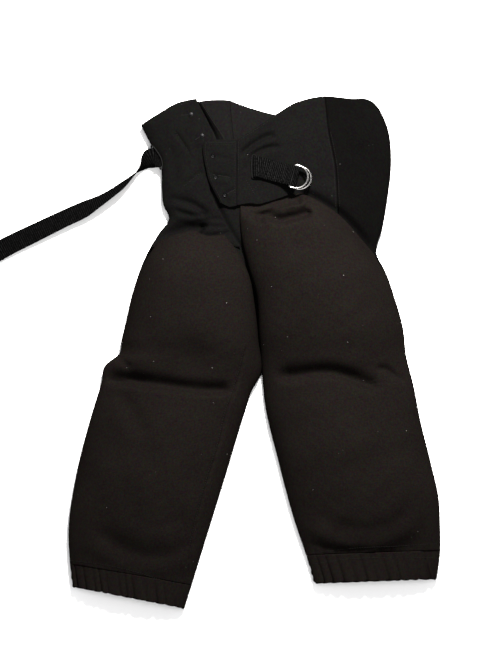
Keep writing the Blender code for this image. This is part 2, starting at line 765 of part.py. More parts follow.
def main():
    clear_scene()
    materials = make_materials()
    knit, foam = materials["knit"], materials["foam"]

    right_knee = make_pivot("right_knee_axis", (-90, RIGHT_KNEE_Y, KNEE_AXIS_Z))
    left_knee = make_pivot("left_knee_axis", (102, LEFT_KNEE_Y, KNEE_AXIS_Z))
    flap_z = waist_height(FLAP_SEAM_X, 222) + FLAP_LIFT + 0.3
    flap_pivot = make_pivot("flap_seam_axis", (FLAP_SEAM_X, 222, flap_z))
    tab_z = waist_height(30, 225) + FLAP_LIFT + TAB_BASE_GAP
    tab_pivot = make_pivot("tab_slot_axis", (TAB_ROOT_X, TAB_SLOT[1], tab_z + TAB_HINGE_RISE))
    bar_places = []
    for along_tab, height in (UPPER_BAR, LOWER_BAR):
        x = TAB_ROOT_X + along_tab * math.cos(TAB_ANGLE)
        y = TAB_SLOT[1] + along_tab * math.sin(TAB_ANGLE)
        bar_places.append((x, y, tab_z + height))
    upper_pivot = make_pivot("upper_ring_axis", bar_places[0])
    lower_pivot = make_pivot("lower_ring_axis", bar_places[1])

    make_waist(materials)
    right_thigh = Leg(RIGHT_THIGH_ROWS, right_outer, right_thigh_inner, True, True)
    left_thigh = Leg(LEFT_THIGH_ROWS, left_outer, left_thigh_inner, False, True)
    right_shin = Leg(RIGHT_SHIN_ROWS, right_outer, right_inner, True, False)
    left_shin = Leg(LEFT_SHIN_ROWS, left_outer, left_inner, False, False)
    front_panel("right_thigh_front", right_thigh, knit)
    front_panel("left_thigh_front", left_thigh, knit)
    front_panel("right_shin_front", right_shin, knit, right_knee)
    front_panel("left_shin_front", left_shin, knit, left_knee)
    pad("right_thigh_pad", right_thigh, 0.68, (0.2, 0.8), foam)
    pad("left_thigh_pad", left_thigh, 0.68, (0.2, 0.72), foam)
    pad("right_shin_pad", right_shin, 0.68, (0.18, 0.84), foam, right_knee)
    pad("left_shin_pad", left_shin, 0.68, (0.18, 0.84), foam, left_knee)
    shin_back("right_shin_back", RIGHT_SHIN_ROWS, right_outer, right_inner, True, knit, right_knee)
    shin_back("left_shin_back", LEFT_SHIN_ROWS, left_outer, left_inner, False, knit, left_knee)
    make_cuff("right", RIGHT_CUFF, right_outer, right_inner, True, materials, right_knee)
    make_cuff("left", LEFT_CUFF, left_outer, left_inner, False, materials, left_knee)
    make_belt(materials)
    make_slot_bindings(materials)
    make_tail(materials)
    make_studs(materials)
    make_fly(materials, flap_pivot)
    make_tab(materials, tab_pivot, upper_pivot, lower_pivot, tab_z)


main()
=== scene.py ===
"""Looks of the youth hockey pants: cloth, seams, pads, webbing, metal, light and camera.

Shapes are worked out in millimetres in the CAD's own frame, and MM turns them into metres where a mesh
is made. Left and right in the names are the wearer's, so the right leg is on the -X side.
"""

import json
import math

import bpy
import numpy as np
from mathutils import Vector
from mathutils.bvhtree import BVHTree
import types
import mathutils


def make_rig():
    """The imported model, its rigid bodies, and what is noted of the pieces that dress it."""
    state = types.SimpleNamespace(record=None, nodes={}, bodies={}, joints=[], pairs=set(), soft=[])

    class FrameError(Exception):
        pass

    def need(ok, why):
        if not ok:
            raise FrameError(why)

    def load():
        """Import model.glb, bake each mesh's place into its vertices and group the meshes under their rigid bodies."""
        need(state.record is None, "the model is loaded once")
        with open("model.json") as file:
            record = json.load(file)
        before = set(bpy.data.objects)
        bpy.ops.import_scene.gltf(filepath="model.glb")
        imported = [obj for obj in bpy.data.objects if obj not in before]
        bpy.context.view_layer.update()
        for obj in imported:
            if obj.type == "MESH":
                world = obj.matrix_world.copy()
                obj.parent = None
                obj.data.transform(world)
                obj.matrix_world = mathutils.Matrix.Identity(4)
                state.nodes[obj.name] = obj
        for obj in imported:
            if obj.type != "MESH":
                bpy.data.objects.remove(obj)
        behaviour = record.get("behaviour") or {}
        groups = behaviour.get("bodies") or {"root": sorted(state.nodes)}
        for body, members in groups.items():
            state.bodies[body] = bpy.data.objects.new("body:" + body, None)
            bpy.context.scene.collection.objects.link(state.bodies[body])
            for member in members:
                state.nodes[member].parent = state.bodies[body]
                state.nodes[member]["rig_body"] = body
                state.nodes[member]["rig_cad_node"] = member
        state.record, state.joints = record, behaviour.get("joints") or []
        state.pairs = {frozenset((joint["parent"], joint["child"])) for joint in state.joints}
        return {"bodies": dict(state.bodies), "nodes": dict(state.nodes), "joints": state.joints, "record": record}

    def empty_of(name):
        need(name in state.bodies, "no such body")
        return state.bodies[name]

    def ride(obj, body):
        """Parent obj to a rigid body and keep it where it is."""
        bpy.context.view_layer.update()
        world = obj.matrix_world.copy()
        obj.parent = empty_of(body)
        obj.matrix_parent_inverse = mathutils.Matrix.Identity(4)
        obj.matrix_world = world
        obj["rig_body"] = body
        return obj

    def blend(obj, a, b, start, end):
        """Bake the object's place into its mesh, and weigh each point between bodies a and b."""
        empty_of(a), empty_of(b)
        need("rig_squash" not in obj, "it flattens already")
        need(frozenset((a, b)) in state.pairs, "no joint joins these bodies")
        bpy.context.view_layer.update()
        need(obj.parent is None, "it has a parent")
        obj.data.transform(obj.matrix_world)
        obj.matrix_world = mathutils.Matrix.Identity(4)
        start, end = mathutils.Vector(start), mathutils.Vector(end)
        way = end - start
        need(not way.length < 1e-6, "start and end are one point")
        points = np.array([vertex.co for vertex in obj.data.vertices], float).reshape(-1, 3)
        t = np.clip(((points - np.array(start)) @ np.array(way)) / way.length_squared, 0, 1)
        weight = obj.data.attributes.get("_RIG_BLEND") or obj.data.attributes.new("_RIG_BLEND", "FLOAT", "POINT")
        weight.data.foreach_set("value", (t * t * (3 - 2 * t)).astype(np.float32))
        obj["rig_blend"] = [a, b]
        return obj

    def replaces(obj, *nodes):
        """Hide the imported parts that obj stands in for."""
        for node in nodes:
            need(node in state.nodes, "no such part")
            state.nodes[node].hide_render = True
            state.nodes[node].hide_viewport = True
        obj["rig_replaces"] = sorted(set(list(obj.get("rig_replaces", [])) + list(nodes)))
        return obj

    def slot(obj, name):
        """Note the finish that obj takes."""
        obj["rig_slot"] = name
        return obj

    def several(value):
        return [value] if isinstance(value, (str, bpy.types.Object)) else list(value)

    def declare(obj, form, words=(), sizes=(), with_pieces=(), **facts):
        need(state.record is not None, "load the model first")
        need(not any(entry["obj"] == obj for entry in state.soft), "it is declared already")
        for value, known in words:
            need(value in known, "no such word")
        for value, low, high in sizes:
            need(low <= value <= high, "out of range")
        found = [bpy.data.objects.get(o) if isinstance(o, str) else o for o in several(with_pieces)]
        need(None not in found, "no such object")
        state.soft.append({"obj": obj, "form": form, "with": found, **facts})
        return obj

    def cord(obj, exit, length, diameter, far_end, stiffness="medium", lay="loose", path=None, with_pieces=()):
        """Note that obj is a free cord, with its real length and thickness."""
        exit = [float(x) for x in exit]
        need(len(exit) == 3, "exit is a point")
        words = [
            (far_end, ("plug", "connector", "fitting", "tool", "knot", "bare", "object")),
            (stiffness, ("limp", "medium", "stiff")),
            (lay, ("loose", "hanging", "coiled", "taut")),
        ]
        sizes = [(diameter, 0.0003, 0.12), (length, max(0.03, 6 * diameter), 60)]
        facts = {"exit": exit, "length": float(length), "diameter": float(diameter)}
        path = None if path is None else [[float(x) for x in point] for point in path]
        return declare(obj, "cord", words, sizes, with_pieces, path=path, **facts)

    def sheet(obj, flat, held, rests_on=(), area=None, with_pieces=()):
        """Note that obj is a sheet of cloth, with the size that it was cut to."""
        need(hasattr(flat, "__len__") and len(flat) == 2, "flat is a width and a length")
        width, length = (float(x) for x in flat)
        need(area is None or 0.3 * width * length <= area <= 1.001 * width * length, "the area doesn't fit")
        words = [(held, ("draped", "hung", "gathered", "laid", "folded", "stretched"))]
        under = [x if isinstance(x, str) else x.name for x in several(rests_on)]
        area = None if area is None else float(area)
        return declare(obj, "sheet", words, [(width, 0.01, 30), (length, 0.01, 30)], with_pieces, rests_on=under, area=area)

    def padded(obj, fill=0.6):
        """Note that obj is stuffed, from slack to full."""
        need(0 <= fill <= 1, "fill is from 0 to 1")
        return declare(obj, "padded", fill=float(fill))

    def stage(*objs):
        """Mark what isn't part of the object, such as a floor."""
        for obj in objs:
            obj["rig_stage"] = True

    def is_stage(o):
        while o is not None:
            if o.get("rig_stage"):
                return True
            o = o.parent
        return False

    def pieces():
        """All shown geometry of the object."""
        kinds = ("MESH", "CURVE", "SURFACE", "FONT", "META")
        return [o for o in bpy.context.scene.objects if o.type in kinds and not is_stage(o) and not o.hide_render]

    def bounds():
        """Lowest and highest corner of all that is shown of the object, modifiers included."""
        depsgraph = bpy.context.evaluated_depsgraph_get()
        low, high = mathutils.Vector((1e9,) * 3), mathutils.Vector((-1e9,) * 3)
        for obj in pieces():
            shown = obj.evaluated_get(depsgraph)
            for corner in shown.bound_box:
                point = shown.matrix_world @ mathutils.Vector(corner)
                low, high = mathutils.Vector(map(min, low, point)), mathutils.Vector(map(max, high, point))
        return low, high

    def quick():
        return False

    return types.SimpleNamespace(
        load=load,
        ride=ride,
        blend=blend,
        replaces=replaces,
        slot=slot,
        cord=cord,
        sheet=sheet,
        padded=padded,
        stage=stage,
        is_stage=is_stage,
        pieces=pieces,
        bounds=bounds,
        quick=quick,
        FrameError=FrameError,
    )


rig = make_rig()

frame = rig.load()
CAD_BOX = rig.bounds()

# Millimetres become metres
MM = 0.001

# The cloth, and the thinner cloth of hems and facings
CLOTH = 1.5
HEM_CLOTH = 1.2

# Height of the side seams and of the waist's middle, and how far the left front laps over the right one
SEAM_Z = 9.7
WAIST_CROWN = 28.0
FLAP_LIFT = 4.6

WEB_WIDTH = 25.0
WEB_THICKNESS = 1.6

# The cloth of the backs lies this high, and the floor this far below the part
FLOOR_LIFT = 0.2
FLOOR_GAP = 0.3

# Outlines seen from above, as (y, x) pairs from the cuffs to the waist
RIGHT_OUTER = (
    (-293, -226), (-264, -229), (-222, -231), (-160, -223), (-85, -205), (-38, -191),
    (-15, -185), (-3, -170), (15, -166), (41, -160), (83, -150), (125, -134),
    (149, -120), (168, -107),
    (185, -114), (205, -116), (228, -116.5), (241, -118), (262, -130), (287, -143),
)
LEFT_OUTER = (
    (-283, 226), (-247, 231), (-222, 231), (-180, 229), (-143, 221), (-85, 207),
    (-38, 198), (-6, 190), (30, 186), (67, 176), (104, 163), (121, 154),
    (157, 161), (199, 168), (238, 172), (291, 165), (306, 158),
)
RIGHT_INNER = (
    (-320, -87), (-232, -60), (-148, -34), (-72, -11), (-48, -3), (-30, 7),
    (15, 5), (55, 0.8), (100, -8), (131, -22), (149, -36),
)
LEFT_INNER = (
    (-289, 74), (-259, 66), (-211, 50), (-133, 29), (-64, 13), (-27, 9.6),
    (20, 5.8), (72, 1.8), (100, -6.2), (131, -14), (169, -18), (196, -16),
)
CENTRE_BACK = (
    (-30, 8.5), (-8, 8), (30, 4), (73, 0), (125, -12), (183, -15), (230, -21), (270, -26), (319, -31),
)
SIDE_SEAM = ((168, 104.5), (181, 104), (234, 101), (276, 93), (321, 88))
FLY_LINE = ((118, -8), (144, -26), (171, -41), (200, -55), (230, -56), (266, -51), (318, -73))
FACING_RIDGE = ((190, -26), (235, -24), (265, -33), (290, -50), (313, -65))
FLAP_EDGE = (
    (179, -30), (183, -40.5), (189, -44.5), (200, -50.4), (213, -56.7), (228, -60.4),
    (240, -62.9), (256, -64.3), (265, -62),
)
# Height of the valley between the thighs, by y
VALLEY = ((-48, 9.7), (-30, 10.5), (-8, 13), (20, 20), (60, 26), (100, 29), (200, 29))

# Leg rows from cuff to hip: y at the outer edge, y at the inner edge, crown height, arch in +Y
RIGHT_ROWS = (
    (-264, -290.5, 27, 0), (-230, -248, 37, 0), (-180, -192, 46, 0), (-125, -135, 49, 0),
    (-75, -80, 47.5, 0), (-50, -52, 45, 0), (-31, -33, 43, 0), (-10, -10, 48, 0), (15, 15, 57, 0),
    (55, 55, 61, 0), (98, 100, 57, 2), (126, 131, 46, 6), (141, 149, 33, 8),
)
LEFT_ROWS = (
    (-247.5, -253.5, 28, 0), (-222, -228, 38, 0), (-185, -190, 46, 0), (-137, -133, 51, 0),
    (-85, -80, 49.5, 0), (-48, -50, 46, 0), (-27, -27, 44, 0), (-6, -8, 48, 0), (22, 20, 57, 0),
    (64, 72, 62, 4), (88, 125, 58, 14), (108, 176, 46, 26), (121, 196, 32, 31),
)
RIGHT_CUFF = ((-264, -290.5), (-292, -319))
LEFT_CUFF = ((-247.5, -253.5), (-282.5, -288))
CUFF_CROWN = (27.0, 24.0)
KNEE_Y = {"right": -31.0, "left": -26.0}
KNEE_REACH = 34.0

# Belt tail: its centre line from the slot to the free end, with the turn of its flat side in degrees
TAIL_ROUTE = (
    (-117.0, 245.0, 12.6, 0), (-122.0, 245.0, 12.6, 0), (-127.0, 244.8, 12.6, 0), (-135.0, 240.0, 13.4, 46),
    (-142.0, 231.5, 14.0, 84), (-148.0, 226.0, 14.2, 96), (-156.0, 218.5, 13.4, 106),
    (-167.0, 209.0, 12.2, 116), (-180.0, 199.5, 11.6, 121), (-195.0, 190.0, 10.4, 130),
    (-214.0, 180.0, 7.2, 150), (-240.0, 168.0, 6.2, 155), (-270.0, 153.5, 5.0, 161),
    (-318.0, 129.5, 3.2, 170), (-345.0, 113.0, 1.8, 176), (-372.0, 90.0, 1.1, 180),
    (-398.0, 56.0, 1.1, 180), (-408.0, 30.0, 1.1, 180),
)

# Tab: where it leaves its slot, which way it lies, and its loop over the two ring bars
TAB_SLOT = (-0.6, 230.5)
TAB_ROOT_X = 3.6
TAB_ANGLE = math.radians(-15.6)
TAB_BASE_GAP = 1.0
LOWER_BAR = (49.5, 3.3)
UPPER_BAR = (45.5, 6.4)
RING_WIRE = 2.7
RING_INNER_WIDTH = 26.0
RING_ARM = 5.0

# ---------------------------------------------------------------- curves and grids


def smooth_curve(pairs):
    """A smooth function through (knot, value) pairs, held level beyond its ends. It takes arrays."""
    knots = np.array([pair[0] for pair in pairs], float)
    values = np.array([pair[1:] for pair in pairs], float)
    slopes = np.gradient(values, knots, axis=0)

    def at(where):
        where = np.clip(np.asarray(where, float), knots[0], knots[-1])
        i = np.clip(np.searchsorted(knots, where, side="right") - 1, 0, len(knots) - 2)
        span = (knots[i + 1] - knots[i])[..., None]
        t = (where - knots[i])[..., None] / span
        rise = t * t * (3 - 2 * t)
        found = values[i] * (1 - rise) + values[i + 1] * rise
        found = found + slopes[i] * span * t * (1 - t) ** 2 - slopes[i + 1] * span * t * t * (1 - t)
        return found[..., 0] if found.shape[-1] == 1 else found

    return at


right_outer, left_outer = smooth_curve(RIGHT_OUTER), smooth_curve(LEFT_OUTER)
right_inner, left_inner = smooth_curve(RIGHT_INNER), smooth_curve(LEFT_INNER)
centre_back, side_seam = smooth_curve(CENTRE_BACK), smooth_curve(SIDE_SEAM)
fly_line, facing_ridge = smooth_curve(FLY_LINE), smooth_curve(FACING_RIDGE)
flap_edge, valley = smooth_curve(FLAP_EDGE), smooth_curve(VALLEY)


def smoothstep(low, high, value):
    t = np.clip((np.asarray(value, float) - low) / (high - low), 0, 1)
    return t * t * (3 - 2 * t)


def resampled(points, spacing):
    """Points evenly spaced along a smooth curve through a few points of any dimension."""
    points = np.array(points, float)
    steps = np.linalg.norm(np.diff(points, axis=0), axis=1)
    lengths = np.concatenate([[0.0], np.cumsum(steps)])
    at = smooth_curve([(length, *point) for length, point in zip(lengths, points)])
    fine = at(np.linspace(0, lengths[-1], 12 * len(points)))
    steps = np.linalg.norm(np.diff(fine, axis=0), axis=1)
    lengths = np.concatenate([[0.0], np.cumsum(steps)])
    count = max(2, int(round(lengths[-1] / spacing)) + 1)
    where = np.linspace(0, lengths[-1], count)
    return np.stack([np.interp(where, lengths, fine[:, k]) for k in range(points.shape[1])], axis=1)


def ripple(x, y, wavelength, seed):
    """A smooth random field between about -1 and 1, the same every run."""
    rng = np.random.default_rng(seed)
    total = np.zeros_like(np.asarray(x, float) + np.asarray(y, float))
    for _ in range(7):
        turn, phase = rng.uniform(0, 2 * math.pi, 2)
        pitch = wavelength * rng.uniform(0.7, 1.5)
        total = total + np.sin(2 * math.pi * (x * math.cos(turn) + y * math.sin(turn)) / pitch + phase)
    return total / 3.2


# Spacing of the points along a fold, and the share of its length over which each end fades out
FOLD_STEP = 2.0
TAPER = 0.2


def fold(x, y, path, depth, above, below, taper=TAPER, ridge=()):
    """Change of height by a fold along a path of (x, y) points.

    The valley is depth deep. Its side to the left of the path's direction is above wide, and the other
    side below wide. A ridge, as (height, distance, width), can stand along its right side.
    """
    line = resampled(path, FOLD_STEP)
    ahead = np.gradient(line, axis=0)
    ahead /= np.linalg.norm(ahead, axis=1)[:, None]
    reach = 3 * max(above, below) + (ridge[1] + 3 * ridge[2] if ridge else 0)
    change = np.zeros(np.shape(x))
    (low_x, low_y), (high_x, high_y) = line.min(axis=0) - reach, line.max(axis=0) + reach
    near = (x > low_x) & (x < high_x) & (y > low_y) & (y < high_y)
    dx = x[near][:, None] - line[None, :, 0]
    dy = y[near][:, None] - line[None, :, 1]
    distance = np.hypot(dx, dy)
    closest = distance.argmin(axis=1)
    pick = np.arange(len(closest))
    nearest = distance[pick, closest]
    side = ahead[closest, 0] * dy[pick, closest] - ahead[closest, 1] * dx[pick, closest]
    along = closest / (len(line) - 1)
    ends = smoothstep(0, taper, along) * smoothstep(0, taper, 1 - along)
    wide = np.where(side > 0, above, below)
    found = -depth * ends * np.exp(-((nearest / wide) ** 2))
    if ridge:
        height, away, width = ridge
        offset = np.where(side > 0, nearest, -nearest)
        found = found + height * ends * np.exp(-(((offset + away) / width) ** 2))
    change[near] = found
    return change


def folded(x, y, folds):
    """Change of height by several folds, each given as fold takes it."""
    return sum(fold(x, y, *each) for each in folds)


def grid_normals(points):
    """Unit normals of a grid of points, from its rows and columns."""
    down, across = np.gradient(points, axis=0), np.gradient(points, axis=1)
    normals = np.cross(across, down)
    return normals / np.maximum(np.linalg.norm(normals, axis=-1), 1e-9)[..., None]


def lengths_along(points, axis):
    steps = np.linalg.norm(np.diff(points, axis=axis), axis=-1)
    zero = np.zeros_like(np.take(steps, [0], axis=axis))
    return np.concatenate([zero, np.cumsum(steps, axis=axis)], axis=axis)


def link(obj):
    bpy.context.scene.collection.objects.link(obj)
    return obj


def settle(obj, body, slot, *nodes):
    """Lets a piece ride on a body and stand for its CAD nodes, and names its material slot."""
    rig.ride(obj, body)
    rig.replaces(obj, *nodes)
    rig.slot(obj, slot)


def mesh_object(name, points, faces, material, cloth=None):
    """One object from points in millimetres. cloth is a UV for each point, in metres along the cloth."""
    mesh = bpy.data.meshes.new(name)
    mesh.from_pydata((np.asarray(points, float) * MM).tolist(), [], faces)
    if cloth is not None:
        layer = mesh.uv_layers.new(name="cloth")
        corners = np.empty(len(mesh.loops), np.int32)
        mesh.loops.foreach_get("vertex_index", corners)
        layer.data.foreach_set("uv", np.asarray(cloth, np.float32)[corners].ravel())
    mesh.materials.append(material)
    mesh.shade_smooth()
    return link(bpy.data.objects.new(name, mesh))


def grid_faces(rows, columns, faces_up, wrap):
    faces = []
    for i in range(rows - 1):
        for j in range(columns if wrap else columns - 1):
            a, b = i * columns + j, i * columns + (j + 1) % columns
            face = (a, b, b + columns, a + columns)
            faces.append(face if faces_up else face[::-1])
    return faces


def cloth_grid(name, points, material, thickness=CLOTH, faces_up=True, wrap=False):
    """A cloth panel from a grid of points on its outer side, thickened inwards."""
    rows, columns = points.shape[:2]
    across = lengths_along(points, 1)
    across = across - across[:, columns // 2][:, None]
    along = np.broadcast_to(lengths_along(points, 0).mean(axis=1)[:, None], across.shape)
    cloth = np.stack([across, along], axis=-1).reshape(-1, 2) * MM
    faces = grid_faces(rows, columns, faces_up, wrap)
    obj = mesh_object(name, points.reshape(-1, 3), faces, material, cloth)
    solidify = obj.modifiers.new("thickness", "SOLIDIFY")
    solidify.thickness = thickness * MM
    solidify.offset = -1.0
    return obj


# Places across a strap as shares of half its width, and half its thickness there, less at the selvedges
ACROSS = np.linspace(1, -1, 15)
HALF_THICK = WEB_THICKNESS / 2 * (1 - 0.5 * np.abs(ACROSS) ** 10)
STRAP_CREASE = math.radians(50)


def strap(name, sections, line, material, faces_up=False):
    """A strap along a line, from sections that each run across its upper side and back across the lower."""
    rows, columns = sections.shape[:2]
    faces = grid_faces(rows, columns, faces_up, True)
    first, last = tuple(range(columns)), tuple(range((rows - 1) * columns, rows * columns))
    faces += [first[::-1], last] if faces_up else [first, last[::-1]]
    around = np.concatenate([ACROSS, ACROSS[::-1]]) * WEB_WIDTH / 2
    along = lengths_along(line[:, None, :], 0)
    cloth = np.stack(np.broadcast_arrays(around[None, :], along), axis=-1).reshape(-1, 2) * MM
    obj = mesh_object(name, sections.reshape(-1, 3), faces, material, cloth)
    obj.data.set_sharp_from_angle(angle=STRAP_CREASE)
    return obj


class Surface:
    """The outer side of a cloth panel, for laying seams, stitches and trims on it."""

    START_HEIGHT = 200.0

    def __init__(self, points, wrap=False):
        rows, columns = points.shape[:2]
        corners = [Vector(p) for p in points.reshape(-1, 3).tolist()]
        self.tree = BVHTree.FromPolygons(corners, grid_faces(rows, columns, True, wrap))

    def drop(self, x, y):
        """Place and normal where a point falls on the surface from above."""
        return self.tree.ray_cast(Vector((x, y, self.START_HEIGHT)), Vector((0, 0, -1)))[:2]

    def height(self, x, y):
        return self.drop(x, y)[0].z

    def lay(self, path, spacing):
        """Points and normals where an (x, y) path falls on the surface."""
        found, normals = [], []
        for x, y in resampled(path, spacing):
            place, normal = self.drop(x, y)
            if place is None:
                continue
            found.append(place)
            normals.append(-normal if normal.z < 0 else normal)
        return np.array(found, float).reshape(-1, 3), np.array(normals, float).reshape(-1, 3)


def declare_cloth(obj, points, held, rests_on=()):
    """Declares a panel as a sheet, with the flat size that its own grid measures."""
    across = lengths_along(points, 1)[:, -1]
    along = lengths_along(points, 0)[-1]
    first = np.cross(points[1:, :-1] - points[:-1, :-1], points[:-1, 1:] - points[:-1, :-1])
    second = np.cross(points[1:, :-1] - points[1:, 1:], points[:-1, 1:] - points[1:, 1:])
    area = (np.linalg.norm(first, axis=-1).sum() + np.linalg.norm(second, axis=-1).sum()) / 2
    width, length = across.max() * MM, along.max() * MM
    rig.sheet(
        obj,
        flat=(round(width, 3), round(length, 3)),
        held=held,
        rests_on=rests_on,
        area=min(area * MM * MM, 0.999 * round(width, 3) * round(length, 3)),
    )
    return obj


# ---------------------------------------------------------------- materials


def rgba(colour, gain=1.0):
    return (*(gain * channel for channel in colour), 1.0)


def grey(value):
    return (value, value, value)


class Shader:
    """A Principled material under construction: nodes in short calls."""

    def __init__(self, name, **values):
        self.material = bpy.data.materials.new(name)
        self.material.use_nodes = True
        self.tree = self.material.node_tree
        self.principled = self.tree.nodes["Principled BSDF"]
        for socket, value in values.items():
            self.principled.inputs[socket.replace("_", " ")].default_value = value

    def feed(self, socket, value):
        """Links a socket to another node's, or sets its own value."""
        if isinstance(value, bpy.types.NodeSocket):
            self.tree.links.new(value, socket)
        else:
            socket.default_value = value

    def node(self, kind, inputs, **settings):
        node = self.tree.nodes.new(kind)
        for name, value in settings.items():
            setattr(node, name, value)
        for socket, value in inputs.items():
            self.feed(node.inputs[socket], value)
        return node

    def cloth_place(self):
        """Coordinates that lie along the cloth, in metres."""
        return self.node("ShaderNodeUVMap", {}, uv_map="cloth").outputs[0]

    def object_place(self):
        return self.node("ShaderNodeTexCoord", {}).outputs["Object"]

    def noise(self, place, scale, detail=2.0, roughness=0.5, output="Fac"):
        inputs = {"Vector": place, "Scale": scale, "Detail": detail, "Roughness": roughness}
        return self.node("ShaderNodeTexNoise", inputs).outputs[output]

    def bands(self, place, pitch, direction, distortion=0.0):
        """Bands with that pitch in metres."""
        reach = {"X": 20.0, "Y": 20.0, "DIAGONAL": 14.14}[direction]
        inputs = {"Vector": place, "Scale": 2 * math.pi / (reach * pitch), "Distortion": distortion}
        return self.node("ShaderNodeTexWave", inputs, bands_direction=direction).outputs["Fac"]

    def stretch(self, value, low, high, to_low=0.0, to_high=1.0):
        inputs = {"Value": value, "From Min": low, "From Max": high, "To Min": to_low, "To Max": to_high}
        return self.node("ShaderNodeMapRange", inputs).outputs[0]

    def math(self, operation, a, b):
        return self.node("ShaderNodeMath", {0: a, 1: b}, operation=operation).outputs[0]

    def mix(self, factor, a, b, blend="MIX"):
        node = self.node("ShaderNodeMix", {}, data_type="RGBA", blend_type=blend)
        sockets = {socket.identifier: socket for socket in node.inputs}
        for name, value in (("Factor_Float", factor), ("A_Color", a), ("B_Color", b)):
            self.feed(sockets[name], value)
        return next(socket for socket in node.outputs if socket.identifier == "Result_Color")

    def bump(self, height, strength, distance):
        inputs = {"Strength": strength, "Distance": distance, "Height": height}
        self.set("Normal", self.node("ShaderNodeBump", inputs).outputs[0])

    def set(self, socket, value):
        self.tree.links.new(value, self.principled.inputs[socket])


# Pitch of the knit's ribs, of a strap's warp and of a thread's ply, in metres, and the colour of lint
TWILL = 1.0e-3
WARP = 1.5e-3
PLY = 0.35e-3
LINT = (0.07, 0.068, 0.065)


def knit(name, dark, light):
    """Brushed twill-faced knit: fine diagonal ribs under a soft nap, with warmer and cooler flecks."""
    shader = Shader(name, Roughness=0.9, Specular_IOR_Level=0.0)
    place = shader.cloth_place()
    twill = shader.bands(place, TWILL, "DIAGONAL", 0.4)
    courses = shader.bands(place, 0.75 * TWILL, "Y", 0.3)
    yarn = shader.math("MULTIPLY", twill, shader.stretch(courses, 0, 1, 0.55, 1.0))
    nap = shader.noise(place, 1400.0, 3.0)
    height = shader.math("ADD", shader.math("MULTIPLY", yarn, 0.7), shader.math("MULTIPLY", nap, 0.6))
    shader.bump(height, 0.5, 0.1e-3)
    broad = shader.stretch(shader.noise(place, 9.0, 2.0), 0.3, 0.7)
    colour = shader.mix(broad, rgba(dark), rgba(light))
    fleck = shader.noise(place, 430.0, 3.0, 0.8, "Color")
    inputs = {0: fleck, 1: grey(2.7), 2: grey(-0.35)}
    tint = shader.node("ShaderNodeVectorMath", inputs, operation="MULTIPLY_ADD").outputs[0]
    worn = shader.mix(1.0, colour, tint, "MULTIPLY")
    lint = shader.stretch(shader.noise(place, 240.0, 1.0), 0.8, 0.83)
    shader.set("Base Color", shader.mix(lint, worn, rgba(LINT)))
    return shader.material


def webbing(name, shade, pitch):
    """Ribbed narrow weave: raised cross ribs broken by the warp into short floats, with painted highlights on the rib
    crests.
    """
    shader = Shader(name, Roughness=0.6, Specular_IOR_Level=0.0)
    place = shader.cloth_place()
    ribs = shader.bands(place, pitch, "Y", 0.6)
    warp = shader.bands(place, WARP, "X", 0.5)
    height = shader.math("ADD", ribs, shader.math("MULTIPLY", warp, 0.5))
    shader.bump(height, 1.0, 0.7e-3)
    fibre_glint = shader.stretch(shader.noise(place, 520.0, 3.0, 0.75), 0.38, 0.66, 0.0, 1.0)
    # painted highlight: the rib crests, broken up by the fibre noise, are coloured up to 16 times lighter
    painted_rib_highlight = shader.math("MULTIPLY", shader.stretch(height, 0.55, 1.3), fibre_glint)
    shader.set("Base Color", shader.mix(painted_rib_highlight, rgba(grey(shade)), rgba(grey(shade), 16.0)))
    shader.set("Roughness", shader.stretch(fibre_glint, 0, 1, 0.7, 0.45))
    return shader.material


def thread(name, colour):
    """Spun sewing thread: fine twisted ply lines."""
    shader = Shader(name, Roughness=0.6, Specular_IOR_Level=0.03)
    ply = shader.bands(shader.object_place(), PLY, "DIAGONAL")
    shader.bump(ply, 0.5, 0.1e-3)
    shader.set("Base Color", shader.mix(ply, rgba(colour), rgba(colour, 1.8)))
    return shader.material


def metal(name, colour, roughness):
    """Plated wire or sheet: polished, with faint rubbing marks."""
    shader = Shader(name, Metallic=1.0)
    place = shader.object_place()
    rubbed = shader.noise(place, 420.0, 4.0, 0.6)
    shader.set("Roughness", shader.stretch(rubbed, 0.3, 0.7, roughness * 0.7, roughness * 1.5))
    wear = shader.stretch(shader.noise(place, 900.0, 2.0), 0.45, 0.75)
    shader.set("Base Color", shader.mix(wear, rgba(colour), rgba(colour, 0.8)))
    shader.bump(rubbed, 0.06, 0.1e-3)
    return shader.material


def foam_cover(name):
    """Grey lining cloth over the pad's foam: an open mesh knit with a slight shade change."""
    shader = Shader(name, Roughness=0.9, Specular_IOR_Level=0.2, Sheen_Weight=0.2)
    place = shader.object_place()
    cells = shader.node("ShaderNodeTexVoronoi", {"Vector": place, "Scale": 520.0}).outputs["Distance"]
    shader.bump(cells, 0.6, 0.4e-3)
    shade = shader.stretch(shader.noise(place, 30.0, 3.0), 0.3, 0.7)
    colour = shader.mix(shade, (0.19, 0.19, 0.2, 1.0), (0.27, 0.27, 0.28, 1.0))
    holes = shader.stretch(cells, 0.05, 0.3)
    shader.set("Base Color", shader.mix(holes, (0.1, 0.1, 0.11, 1.0), colour))
    return shader.material


def plain_floor(name):
    shader = Shader(name, Roughness=0.9, Specular_IOR_Level=0.1)
    shade = shader.stretch(shader.noise(shader.object_place(), 3.0, 2.0), 0.3, 0.7)
    shader.set("Base Color", shader.mix(shade, rgba(grey(0.86)), rgba(grey(0.9))))
    return shader.material


